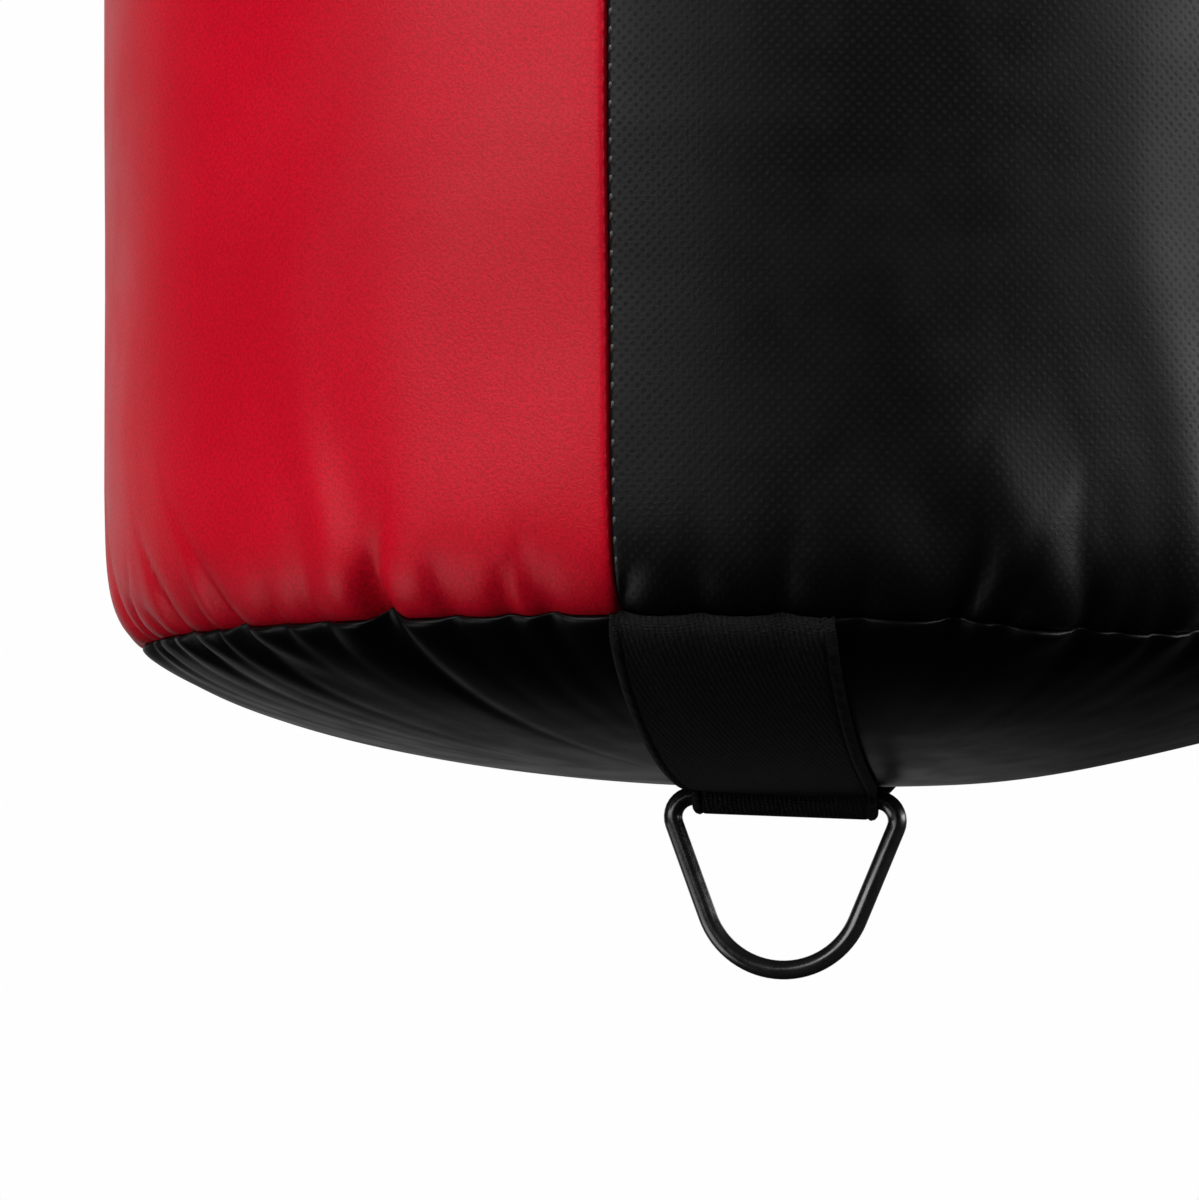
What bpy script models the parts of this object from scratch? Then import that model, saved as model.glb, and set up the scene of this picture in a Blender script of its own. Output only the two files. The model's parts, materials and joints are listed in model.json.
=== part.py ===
"""Hanging heavy bag with a four-leg chain set, a ball-bearing swivel and a snap hook.

Metres, +Z up. The origin is the point inside the snap hook that rests on the support, so the whole
bag hangs below it. The strap across the bottom runs along Y and the rings hang in the XZ plane.
Run with: blender --background --python part.py
"""

import math

import bmesh
import bpy
from mathutils import Matrix, Vector

# ---- Driving dimensions, in metres ----
GAP = 0.0003  # clearance between pieces that touch

# Bag body
BAG_RADIUS = 0.178
BAG_HEIGHT = 1.067
SEAM_RADIUS = 0.1677  # where the side panels meet the end panels
SHOULDER_DECAY = 0.009  # how fast the side swells from the seam to full radius
SHELL_THICKNESS = 0.0012
DOME_DEPTH = 0.0364  # how far the bottom panel bulges below its seam
DOME_POWER = 0.65
TOP_LIP = 0.006  # drop of the top seam below the flat top
TOP_FLAT_RADIUS = 0.150
PANEL_COUNT = 4
FIRST_SEAM_DEG = -97.9  # the strap's left edge lines up with this seam
SEAM_GAP_DEG = 0.12

# Filling
LINER_RADIUS = 0.173
LINER_THICKNESS = 0.020
LINER_INSET = 0.018
CORE_RADIUS = 0.050
CORE_LENGTH = 0.700
FILL_CLEARANCE = 0.004

# Webbing
WEBBING_WIDTH = 0.050
WEBBING_THICKNESS = 0.0011
EYE_RADIUS = 0.00295  # inside of a webbing loop round a ring's bar

# Triangle rings, all five alike
RING_WIRE = 0.0025
RING_HALF_WIDTH = 0.0296
RING_DEPTH = 0.0452
RING_CORNER = 0.0055
RING_ARC = 0.0212
RING_DROP = 0.0032  # bottom ring's bar below the bottom panel

# Hanging straps, at the four diagonals
STRAP_AZIMUTHS_DEG = (45, 135, 225, 315)
STRAP_NAMES = ("right_rear", "left_rear", "left_front", "right_front")
STRAP_BAR_RADIUS = 0.155
STRAP_BAR_Z = -0.4345
STRAP_RISE = 0.022  # bar above the bag's flat top
STRAP_SEWN_LENGTH = 0.150
STRAP_BEND_DROP = 0.009  # where the strap leaves the side, below the top
STRAP_CURVE_DROP = 0.022  # where it starts to bend, below that
STRAP_SHOULDER_DROP = 0.008
STRAP_SHOULDER_INSET = 0.0012
STRAP_FREE_START = 0.006  # where it runs straight to the ring, past the bend

# Chain set
LINK_WIRE = 0.0025
LINK_INNER_LENGTH = 0.042
LINK_INNER_WIDTH = 0.010
LINKS_PER_LEG = 5
S_HOOK_LENGTH = 0.049  # between the centre lines of its two ends
S_HOOK_RADIUS = 0.0075

# Master ring and swivel
MASTER_WIRE = 0.004
MASTER_RADIUS = 0.026
LEG_ANGLES_DEG = (12, -28, -12, 28)  # where each leg sits on the master ring's lower arc
PIN_Z = -0.144
PIN_RADIUS = 0.004
YOKE_TOP_Z = -0.101
YOKE_PLATE = 0.006
YOKE_LEG = 0.005
YOKE_INNER_HALF = 0.012
YOKE_HALF_WIDTH = 0.010
SHANK_RADIUS = 0.005
COLLAR_RADIUS = 0.009
BEARING_RADIUS = 0.0095
BEARING_HEIGHT = 0.005
BEARING_RACE = 0.0016
BEARING_WAIST = 0.001
NUT_HEIGHT = 0.008
NUT_RADIUS = 0.0085
COLLAR_CHAMFER = 0.003
SHANK_END = 0.002  # below the nut
YOKE_BEND = 0.002  # inside radius of the yoke's two bends
BOLT_HEAD = 0.005
BOLT_NUT = 0.006
BOLT_END = 0.002  # past its nut
BOLT_HEX_RADIUS = 0.0075

# Snap hook
HOOK_WIRE = 0.004
HOOK_INNER_LENGTH = 0.064
HOOK_TOP_RADIUS = 0.016
HOOK_BOTTOM_RADIUS = 0.011
NOSE_ALONG = 0.003  # nose and gate pin, along the open side from the top bow
GATE_PIN_ALONG = 0.037
GATE_WIRE = 0.0033
GATE_TONGUE = 0.0015
GATE_PIN_RADIUS = 0.00125
GATE_SLOT_DEPTH = 0.0075
GATE_KNUCKLE = 0.0034
GATE_BAR_START = 0.0045  # from the pin
EAR_PAST_PIN = 0.003
EYE_MAJOR = 0.016
EYE_WIRE = 0.004

# Zip
ZIP_HALF_LENGTH = 0.135
ZIP_SLOT = 0.012
TAPE_HALF_WIDTH = 0.014
TAPE_THICKNESS = 0.001
TEETH_HALF_WIDTH = 0.003
TEETH_HEIGHT = 0.0036
SLIDER_LENGTH = 0.013
SLIDER_END_GAP = 0.002
SLIDER_WALL = 0.0014
PULL_LENGTH = 0.030
PULL_WIDTH = 0.009
PULL_THICKNESS = 0.0014
PULL_BAR = 0.0009  # half width of the bar that turns in the slider's bridge
PULL_HOLE_LENGTH = 0.0065
PULL_HOLE_HALF = 0.0016
BRIDGE_HALF_LENGTH = 0.0045
BRIDGE_RISE = 0.0034
BRIDGE_CORNER = 0.001
BRIDGE_WIRE = 0.0008

# ---- Places worked out from the dimensions ----
TOP_Z = STRAP_BAR_Z - STRAP_RISE
TOP_SEAM_Z = TOP_Z - TOP_LIP
BOTTOM_Z = TOP_Z - BAG_HEIGHT
BOTTOM_SEAM_Z = BOTTOM_Z + DOME_DEPTH
BOTTOM_BAR_Z = BOTTOM_Z - RING_DROP
MASTER_Z = PIN_Z + PIN_RADIUS + GAP + MASTER_WIRE - MASTER_RADIUS
HOOK_BOTTOM_Z = -HOOK_INNER_LENGTH - HOOK_WIRE
EYE_Z = -HOOK_INNER_LENGTH + GAP - EYE_MAJOR + EYE_WIRE
LINK_LENGTH = LINK_INNER_LENGTH + 2 * LINK_WIRE
LINK_HALF_WIDTH = LINK_INNER_WIDTH / 2 + LINK_WIRE

# name: (base colour, metallic, roughness)
FINISHES = {
    "red_vinyl": ((0.50, 0.010, 0.022, 1), 0.0, 0.45),
    "black_vinyl": ((0.010, 0.010, 0.011, 1), 0.0, 0.42),
    "black_webbing": ((0.008, 0.008, 0.008, 1), 0.0, 0.85),
    "black_steel": ((0.010, 0.010, 0.011, 1), 0.6, 0.25),
    "zinc_steel": ((0.55, 0.56, 0.58, 1), 1.0, 0.30),
    "black_zip": ((0.012, 0.012, 0.012, 1), 0.0, 0.6),
    "foam": ((0.62, 0.60, 0.52, 1), 0.0, 0.95),
    "shredded_textile": ((0.30, 0.30, 0.32, 1), 0.0, 0.95),
    "sand": ((0.50, 0.42, 0.30, 1), 0.0, 0.95),
}


def clear_scene():
    for obj in list(bpy.data.objects):
        bpy.data.objects.remove(obj)


def new_collection(name):
    collection = bpy.data.collections.new(name)
    bpy.context.scene.collection.children.link(collection)
    return collection


def material(name):
    found = bpy.data.materials.get(name)
    if found:
        return found
    colour, metallic, roughness = FINISHES[name]
    made = bpy.data.materials.new(name)
    made.use_nodes = True
    shader = made.node_tree.nodes["Principled BSDF"]
    shader.inputs["Base Color"].default_value = colour
    shader.inputs["Metallic"].default_value = metallic
    shader.inputs["Roughness"].default_value = roughness
    return made


def add(name, data, finish, matrix=None):
    """Put new mesh or curve data in the part's collection."""
    obj = bpy.data.objects.new(name, data)
    PARTS.objects.link(obj)
    data.materials.append(material(finish))
    if matrix:
        obj.matrix_world = matrix
    return obj


def helper(obj):
    """Mark an object as a cutter, which isn't part of the bag."""
    for collection in list(obj.users_collection):
        collection.objects.unlink(obj)
    CUTTERS.objects.link(obj)
    obj.hide_render = True
    obj.display_type = "WIRE"
    return obj


def boolean(obj, other, operation):
    modifier = obj.modifiers.new(operation.lower(), "BOOLEAN")
    modifier.operation = operation
    modifier.solver = "EXACT"
    modifier.object = helper(other)
    return obj


def bevel(obj, width, segments=2):
    modifier = obj.modifiers.new("bevel", "BEVEL")
    modifier.width = width
    modifier.segments = segments
    modifier.limit_method = "ANGLE"
    return obj


def to_mesh(obj):
    """A curve as a mesh object with its caps welded."""
    name = obj.name
    finish = obj.data.materials[0]
    graph = bpy.context.evaluated_depsgraph_get()
    mesh = bpy.data.meshes.new_from_object(obj.evaluated_get(graph))
    shape = bmesh.new()
    shape.from_mesh(mesh)
    bmesh.ops.remove_doubles(shape, verts=shape.verts, dist=1e-6)
    shape.to_mesh(mesh)
    shape.free()
    mesh.materials.clear()
    mesh.materials.append(finish)
    matrix = obj.matrix_world.copy()
    bpy.data.objects.remove(obj)
    made = bpy.data.objects.new(name, mesh)
    PARTS.objects.link(made)
    made.name = name
    made.matrix_world = matrix
    return made


def tube(name, points, radius, finish, matrix=None, closed=False, sides=8):
    """A round wire along points."""
    curve = bpy.data.curves.new(name, "CURVE")
    curve.dimensions = "3D"
    curve.bevel_depth = radius
    curve.bevel_resolution = sides // 2 - 2
    curve.use_fill_caps = not closed
    spline = curve.splines.new("POLY")
    spline.points.add(len(points) - 1)
    for point, place in zip(spline.points, points):
        point.co = (*Vector(place).to_3d(), 1)
    spline.use_cyclic_u = closed
    return add(name, curve, finish, matrix)


def plate(name, outlines, thickness, finish, matrix=None):
    """Closed outlines in the local XY plane, filled and given a thickness along local Z."""
    curve = bpy.data.curves.new(name, "CURVE")
    curve.dimensions = "2D"
    curve.fill_mode = "BOTH"
    curve.extrude = thickness / 2
    for outline in outlines:
        spline = curve.splines.new("POLY")
        spline.points.add(len(outline) - 1)
        for point, (x, y) in zip(spline.points, outline):
            point.co = (x, y, 0, 1)
        spline.use_cyclic_u = True
    return add(name, curve, finish, matrix)


def turned(name, profile, finish, steps, angle=2 * math.pi, start=0.0, wall=None):
    """A profile of (radius, height) points, outer side first and top to bottom, turned about Z."""
    mesh = bpy.data.meshes.new(name)
    edges = [(i, i + 1) for i in range(len(profile) - 1)]
    mesh.from_pydata([(r, 0, z) for r, z in profile], edges, [])
    obj = add(name, mesh, finish)
    obj.rotation_euler.z = start
    screw = obj.modifiers.new("screw", "SCREW")
    screw.angle = angle
    screw.steps = steps
    screw.render_steps = steps
    screw.use_merge_vertices = True
    screw.merge_threshold = 1e-5
    if wall:
        solidify = obj.modifiers.new("solidify", "SOLIDIFY")
        solidify.thickness = wall
        solidify.offset = -1
        solidify.use_even_offset = True
    return obj


def cylinder(name, radius, length, finish, matrix, segments=24):
    shape = bmesh.new()
    bmesh.ops.create_cone(shape, cap_ends=True, segments=segments, radius1=radius,
                          radius2=radius, depth=length)
    mesh = bpy.data.meshes.new(name)
    shape.to_mesh(mesh)
    shape.free()
    return add(name, mesh, finish, matrix)


def box(name, low, high, finish):
    low, high = Vector(low), Vector(high)
    shape = bmesh.new()
    bmesh.ops.create_cube(shape, size=1)
    bmesh.ops.scale(shape, vec=high - low, verts=shape.verts)
    mesh = bpy.data.meshes.new(name)
    shape.to_mesh(mesh)
    shape.free()
    return add(name, mesh, finish, Matrix.Translation((low + high) / 2))


def arc(centre, radius, start_deg, end_deg, segments):
    """Points on a circle in the plane, ends included."""
    points = []
    for i in range(segments + 1):
        angle = math.radians(start_deg + (end_deg - start_deg) * i / segments)
        points.append((centre[0] + radius * math.cos(angle), centre[1] + radius * math.sin(angle)))
    return points


def axes_matrix(origin, x_axis, y_axis):
    """World matrix of a piece whose local X and Y point along these unit vectors."""
    x_axis, y_axis = Vector(x_axis), Vector(y_axis)
    rows = Matrix((x_axis, y_axis, x_axis.cross(y_axis))).transposed()
    return Matrix.Translation(origin) @ rows.to_4x4()


def upright(origin, azimuth=0.0):
    """Local X outwards at this azimuth and local Y up, so a plate's thickness is tangential."""
    return axes_matrix(origin, (math.cos(azimuth), math.sin(azimuth), 0), (0, 0, 1))


# ---- Outlines shared by several pieces ----
def side_radius(height):
    """Outer radius of the side at a height above the bottom seam, swelling from both seams."""
    below_top = TOP_SEAM_Z - BOTTOM_SEAM_Z - height
    swell = 1 - math.exp(-height / SHOULDER_DECAY) - math.exp(-below_top / SHOULDER_DECAY)
    return SEAM_RADIUS + (BAG_RADIUS - SEAM_RADIUS) * swell


def dome_z(radius):
    """Outer surface of the bottom panel."""
    share = max(0.0, 1 - (radius / SEAM_RADIUS) ** 2)
    return BOTTOM_SEAM_Z - DOME_DEPTH * share**DOME_POWER


def triangle_ring_points():
    """Centre line of a triangle ring: its bar on the local X axis, the round end towards -Y."""
    corner = Vector((RING_HALF_WIDTH - RING_CORNER, -RING_CORNER))
    centre = Vector((0, RING_ARC - RING_DEPTH))
    reach = corner - centre
    lean = math.atan2(reach.y, reach.x) - math.acos((RING_ARC - RING_CORNER) / reach.length)
    lean = math.degrees(lean)
    right_corner = arc(corner, RING_CORNER, 90, lean, 4)
    round_end = arc(centre, RING_ARC, lean, -180 - lean, 8)
    left_corner = [(-x, y) for x, y in reversed(right_corner)]
    return right_corner + round_end + left_corner


def link_points():
    """Centre line of a chain link, long along local Y."""
    half = LINK_LENGTH / 2 - LINK_HALF_WIDTH
    top = arc((0, half), LINK_HALF_WIDTH, 0, 180, 6)
    return top + arc((0, -half), LINK_HALF_WIDTH, 180, 360, 6)


def s_hook_points():
    """Centre line of an S-hook, its two ends on the local Y axis."""
    half = S_HOOK_LENGTH / 2 - S_HOOK_RADIUS
    slant = math.degrees(math.asin(S_HOOK_RADIUS / half))
    lower = arc((0, -half), S_HOOK_RADIUS, 160, 360 + slant, 9)
    return lower + [(-x, -y) for x, y in reversed(lower)]


# ---- Bag body ----
def make_side_panels():
    """Four coated-fabric panels, red and black in turn, sewn edge to edge."""
    names = ("black_panel_front", "red_panel_right", "black_panel_rear", "red_panel_left")
    length = TOP_SEAM_Z - BOTTOM_SEAM_Z
    near_seam = [0.0, 0.002, 0.005, 0.010, 0.018, 0.032]
    heights = near_seam + [length / 2] + [length - h for h in reversed(near_seam)]
    profile = [(side_radius(h), BOTTOM_SEAM_Z + h) for h in reversed(heights)]
    width = 360 / PANEL_COUNT
    for number, name in enumerate(names):
        start = math.radians(FIRST_SEAM_DEG + number * width + SEAM_GAP_DEG / 2)
        angle = math.radians(width - SEAM_GAP_DEG)
        finish = name.split("_")[0] + "_vinyl"
        turned(name, profile, finish, 10, angle, start, SHELL_THICKNESS)


def make_bottom_panel():
    """Round black panel that bulges under the weight of the filling."""
    rim = SEAM_RADIUS * 0.999
    radii = [rim * math.sin(math.pi / 2 * i / 9) for i in range(9, -1, -1)]
    profile = [(r, dome_z(r) - GAP) for r in radii]
    turned("bottom_panel", profile, "black_vinyl", 36, wall=SHELL_THICKNESS)


def make_top_panels():
    """Two half discs with a slot between them for the zip."""
    rise = [(math.cos(math.radians(a)), math.sin(math.radians(a))) for a in (90, 60, 30, 0)]
    reach = SEAM_RADIUS - TOP_FLAT_RADIUS
    rim_z = TOP_SEAM_Z + SHELL_THICKNESS
    height = TOP_Z - rim_z
    edge = [(TOP_FLAT_RADIUS + reach * c, rim_z + height * s) for c, s in rise]
    profile = [(0, TOP_Z)] + edge
    reach = BAG_RADIUS * 1.2
    slot_half = Vector((ZIP_HALF_LENGTH + GAP, ZIP_SLOT / 2, reach))
    middle = Vector((0, 0, TOP_Z))
    for name, side in (("top_panel_front", -1), ("top_panel_rear", 1)):
        panel = turned(name, profile, "black_vinyl", 36, wall=SHELL_THICKNESS)
        low = (-reach, min(-side * reach, side * GAP), TOP_Z - reach)
        high = (reach, max(-side * reach, side * GAP), TOP_Z + reach)
        boolean(panel, box(name + "_half", low, high, "black_vinyl"), "DIFFERENCE")
        slot = box(name + "_slot", middle - slot_half, middle + slot_half, "black_vinyl")
        boolean(panel, slot, "DIFFERENCE")


def make_filling():
    """Foam sleeve, packed textile and the sand core that gives the bag its weight."""
    top = TOP_SEAM_Z - LINER_INSET
    inner = LINER_RADIUS - LINER_THICKNESS
    bottom = BOTTOM_SEAM_Z + LINER_INSET
    sleeve = [(LINER_RADIUS, top), (LINER_RADIUS, bottom), (inner, bottom), (inner, top)]
    turned("foam_liner", sleeve + sleeve[:1], "foam", 32)

    radius = inner - FILL_CLEARANCE
    fill_top = TOP_Z - 3 * FILL_CLEARANCE
    hole = CORE_RADIUS + 0.001
    hole_bottom = fill_top - CORE_LENGTH - 0.001
    steps = [radius * math.sin(math.pi / 2 * i / 6) for i in range(6, -1, -1)]
    under = [(r, dome_z(r) + FILL_CLEARANCE) for r in steps]
    profile = [(hole, fill_top), (radius, fill_top)] + under
    profile += [(0, hole_bottom), (hole, hole_bottom), (hole, fill_top)]
    turned("textile_filling", profile, "shredded_textile", 32)

    middle = fill_top - CORE_LENGTH / 2
    cylinder("sand_core", CORE_RADIUS, CORE_LENGTH, "sand", Matrix.Translation((0, 0, middle)))


def offset_outline(path, near, far):
    """Closed outline of a band that lies between two distances to the left of a path."""
    sides = {near: [], far: []}
    last = len(path) - 1
    for i, point in enumerate(path):
        along = (path[min(i + 1, last)] - path[max(i - 1, 0)]).normalized()
        left = Vector((-along.y, along.x))
        for distance, side in sides.items():
            side.append(tuple(point + left * distance))
    return sides[far] + sides[near][::-1]


def make_bottom_strap():
    """Webbing from seam to seam across the bottom, dipping round the bottom ring's bar."""
    count = 12
    start = 2.2 * EYE_RADIUS
    rim = SEAM_RADIUS * 0.992
    radii = [start + (rim - start) * math.sin(math.pi / 2 * i / count) for i in range(count + 1)]
    under = GAP * 2
    right = [Vector((r, dome_z(r) - under)) for r in radii]
    loop = [Vector(p) for p in arc((0, BOTTOM_BAR_Z), EYE_RADIUS, 180 + 20, 360 - 20, 8)]
    left = [Vector((-p.x, p.y)) for p in reversed(right)]
    path = left + loop + right
    outline = offset_outline(path, 0, -WEBBING_THICKNESS)
    place = upright((0, 0, 0), math.pi / 2)
    plate("bottom_strap", [outline], WEBBING_WIDTH, "black_webbing", place)


def make_bottom_ring():
    tube("bottom_ring", triangle_ring_points(), RING_WIRE, "black_steel",
         upright((0, 0, BOTTOM_BAR_Z)), closed=True)


# ---- Top zip ----
def make_zip():
    """Tape and closed teeth along X, with a slider that starts at the -X end and its pull."""
    tape_top = TOP_Z - SHELL_THICKNESS - GAP
    teeth_top = tape_top - TAPE_THICKNESS + TEETH_HEIGHT
    tape = box("zip_track", (-ZIP_HALF_LENGTH, -TAPE_HALF_WIDTH, tape_top - TAPE_THICKNESS),
               (ZIP_HALF_LENGTH, TAPE_HALF_WIDTH, tape_top), "black_zip")
    teeth = box("zip_teeth", (-ZIP_HALF_LENGTH, -TEETH_HALF_WIDTH, tape_top - TAPE_THICKNESS / 2),
                (ZIP_HALF_LENGTH, TEETH_HALF_WIDTH, teeth_top), "black_zip")
    boolean(tape, teeth, "UNION")

    left = -ZIP_HALF_LENGTH + SLIDER_END_GAP
    right = left + SLIDER_LENGTH
    inner = TEETH_HALF_WIDTH + GAP
    outer = inner + SLIDER_WALL
    roof = teeth_top + GAP
    foot = tape_top + GAP
    top = roof + SLIDER_WALL
    slider = box("zip_slider", (left, -outer, foot), (right, outer, top), "black_steel")
    past = SLIDER_LENGTH
    channel = box("slider_channel", (left - past, -inner, foot - past), (right + past, inner, roof),
                  "black_steel")
    boolean(slider, channel, "DIFFERENCE")
    middle = (left + right) / 2
    crown = top + BRIDGE_RISE
    sunk = top - SLIDER_WALL / 2
    half = BRIDGE_HALF_LENGTH
    corner = BRIDGE_CORNER
    side = [(half, sunk), (half, crown - corner), (half - corner, crown)]
    arch = [(middle - x, 0, z) for x, z in side] + [(middle + x, 0, z) for x, z in reversed(side)]
    boolean(slider, to_mesh(tube("slider_bridge", arch, BRIDGE_WIRE, "black_steel")), "UNION")

    half = PULL_WIDTH / 2
    axle_z = crown - BRIDGE_WIRE - PULL_BAR - GAP
    outline = [(PULL_BAR, -half), (PULL_BAR, half), (-PULL_LENGTH + half, half)]
    outline += arc((-PULL_LENGTH + half, 0), half, 90, 270, 6)[1:-1]
    outline += [(-PULL_LENGTH + half, -half)]
    far = -PULL_BAR - PULL_HOLE_LENGTH
    hole = [(-PULL_BAR, PULL_HOLE_HALF), (-PULL_BAR, -PULL_HOLE_HALF), (far, -PULL_HOLE_HALF),
            (far, PULL_HOLE_HALF)]
    place = Matrix.Translation((middle, 0, axle_z))
    plate("zip_pull", [outline, hole], PULL_THICKNESS, "black_steel", place)


# ---- Hanging straps, rings and chain legs ----
def strap_direction(azimuth_deg):
    azimuth = math.radians(azimuth_deg)
    return Vector((math.cos(azimuth), math.sin(azimuth), 0))


def leg_frame(number):
    """Where one chain leg runs: bar, ring axis, hook end of the ring, direction and ring foot."""
    out = strap_direction(STRAP_AZIMUTHS_DEG[number])
    bar = out * STRAP_BAR_RADIUS + Vector((0, 0, STRAP_BAR_Z))
    tangent = Vector((-out.y, out.x, 0))
    angle = math.radians(LEG_ANGLES_DEG[number])
    foot = Vector((math.sin(angle), 0, -math.cos(angle))) * MASTER_RADIUS + Vector((0, 0, MASTER_Z))
    along = (foot - bar).normalized()
    for _ in range(6):
        ring_axis = (along - tangent * along.dot(tangent)).normalized()
        arc_centre = bar + ring_axis * (RING_DEPTH - RING_ARC)
        along = (foot - arc_centre).normalized()
    return bar, tangent, ring_axis, arc_centre, along, foot


def make_hanging_strap(number):
    """Doubled webbing sewn to the side, bent over the shoulder and looped round the ring's bar."""
    _, _, ring_axis, _, _, _ = leg_frame(number)
    azimuth = math.radians(STRAP_AZIMUTHS_DEG[number])
    bar = Vector((STRAP_BAR_RADIUS, STRAP_BAR_Z))
    inwards = math.atan2(math.hypot(ring_axis.x, ring_axis.y), ring_axis.z)
    lean = Vector((-math.sin(inwards), math.cos(inwards)))
    side = BAG_RADIUS + GAP + WEBBING_THICKNESS
    bend_z = TOP_Z - STRAP_BEND_DROP
    rise = (bar.y - bend_z) / lean.y
    bend = bar - lean * rise
    middle = [Vector((side, TOP_Z - STRAP_SEWN_LENGTH)), Vector((side, bend_z - STRAP_CURVE_DROP)),
              Vector((side - STRAP_SHOULDER_INSET, bend_z - STRAP_SHOULDER_DROP)),
              bend + lean * STRAP_FREE_START]
    throat = bar - lean * (EYE_RADIUS + 1.3 * WEBBING_THICKNESS)
    band = offset_outline(middle + [throat], -WEBBING_THICKNESS, WEBBING_THICKNESS)
    outer_radius = EYE_RADIUS + WEBBING_THICKNESS
    facing = math.degrees(math.atan2(lean.y, lean.x))
    crown = arc(bar, outer_radius, facing + 150, facing - 150, 12)
    half = len(band) // 2
    outline = band[:half] + crown + band[half:]
    hole = arc(bar, EYE_RADIUS, 0, 330, 11)
    plate("hanging_strap_" + STRAP_NAMES[number], [outline, hole], WEBBING_WIDTH, "black_webbing",
          upright((0, 0, 0), azimuth))


def make_hanging_ring(number):
    bar, tangent, ring_axis, _, _, _ = leg_frame(number)
    place = axes_matrix(bar, tangent, -ring_axis)
    tube("hanging_ring_" + STRAP_NAMES[number], triangle_ring_points(), RING_WIRE, "black_steel",
         place, closed=True)


def make_chain_leg(number):
    """An S-hook in the ring and five links, each turned a quarter, up to the master ring."""
    _, tangent, _, arc_centre, along, foot = leg_frame(number)
    name = STRAP_NAMES[number]
    span = (foot - arc_centre).length
    laid_out = (RING_ARC + S_HOOK_LENGTH + LINKS_PER_LEG * LINK_LENGTH - RING_WIRE - MASTER_WIRE
                - 2 * LINK_WIRE - 2 * LINKS_PER_LEG * LINK_WIRE)
    slack = (laid_out - span) / (LINKS_PER_LEG + 2)

    across = (tangent - along * tangent.dot(along)).normalized()
    at_ring = along.cross(Vector((1, 0, 0))).normalized()
    twist = math.atan2(along.dot(across.cross(at_ring)), across.dot(at_ring))
    twist = (twist + math.pi / 2) % math.pi - math.pi / 2
    step = twist / (LINKS_PER_LEG + 1)

    def placed(start, length, turn):
        width = Matrix.Rotation(turn, 3, along) @ across
        return axes_matrix(arc_centre + along * (start + length / 2), width, along)

    start = RING_ARC - RING_WIRE - LINK_WIRE - slack
    tube("s_hook_" + name, s_hook_points(), LINK_WIRE, "zinc_steel",
         placed(start, S_HOOK_LENGTH, math.pi / 2))
    start += S_HOOK_LENGTH - 2 * LINK_WIRE - slack
    for link in range(LINKS_PER_LEG):
        turn = link * math.pi / 2 + (link + 1) * step
        tube(f"chain_link_{name}_{link + 1}", link_points(), LINK_WIRE, "zinc_steel",
             placed(start, LINK_LENGTH, turn), closed=True)
        start += LINK_LENGTH - 2 * LINK_WIRE - slack


# ---- Master ring, swivel and snap hook ----
def make_master_ring():
    tube("master_ring", arc((0, 0), MASTER_RADIUS, 0, 345, 23), MASTER_WIRE, "zinc_steel",
         upright((0, 0, MASTER_Z)), closed=True, sides=10)


def make_eye_bolt():
    """Eye in the YZ plane on the snap hook's lower bow, with a collar and a shank below it."""
    eye = to_mesh(tube("swivel_eye_bolt", arc((0, 0), EYE_MAJOR, 0, 345, 23), EYE_WIRE,
                       "zinc_steel", upright((0, 0, EYE_Z), math.pi / 2), closed=True, sides=10))
    collar_top = EYE_Z - EYE_MAJOR
    bearing_top = YOKE_TOP_Z - YOKE_PLATE - GAP
    nut_bottom = bearing_top - BEARING_HEIGHT - GAP - NUT_HEIGHT
    shank_bottom = nut_bottom - SHANK_END
    profile = [(0, collar_top), (COLLAR_RADIUS * 0.7, collar_top),
               (COLLAR_RADIUS, collar_top - COLLAR_CHAMFER), (COLLAR_RADIUS, YOKE_TOP_Z + GAP),
               (SHANK_RADIUS, YOKE_TOP_Z + GAP), (SHANK_RADIUS, shank_bottom + 0.001),
               (SHANK_RADIUS - 0.001, shank_bottom), (0, shank_bottom)]
    boolean(eye, turned("eye_shank", profile, "zinc_steel", 24), "UNION")

    place = Matrix.Translation((0, 0, nut_bottom + NUT_HEIGHT / 2))
    nut = bevel(cylinder("swivel_nut", NUT_RADIUS, NUT_HEIGHT, "zinc_steel", place, 6), 0.0007)
    bore = cylinder("nut_bore", SHANK_RADIUS + GAP, 0.05, "zinc_steel", place)
    boolean(nut, bore, "DIFFERENCE")


def make_bearing():
    """Thrust bearing between the yoke's plate and the nut, two races with a waist."""
    top = YOKE_TOP_Z - YOKE_PLATE - GAP
    bore = SHANK_RADIUS + GAP
    waist = BEARING_RADIUS - BEARING_WAIST
    foot = top - BEARING_HEIGHT
    profile = [(bore, top), (BEARING_RADIUS, top), (BEARING_RADIUS, top - BEARING_RACE),
               (waist, top - BEARING_RACE), (waist, foot + BEARING_RACE),
               (BEARING_RADIUS, foot + BEARING_RACE), (BEARING_RADIUS, foot), (bore, foot),
               (bore, top)]
    turned("swivel_bearing", profile, "zinc_steel", 24)


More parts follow.
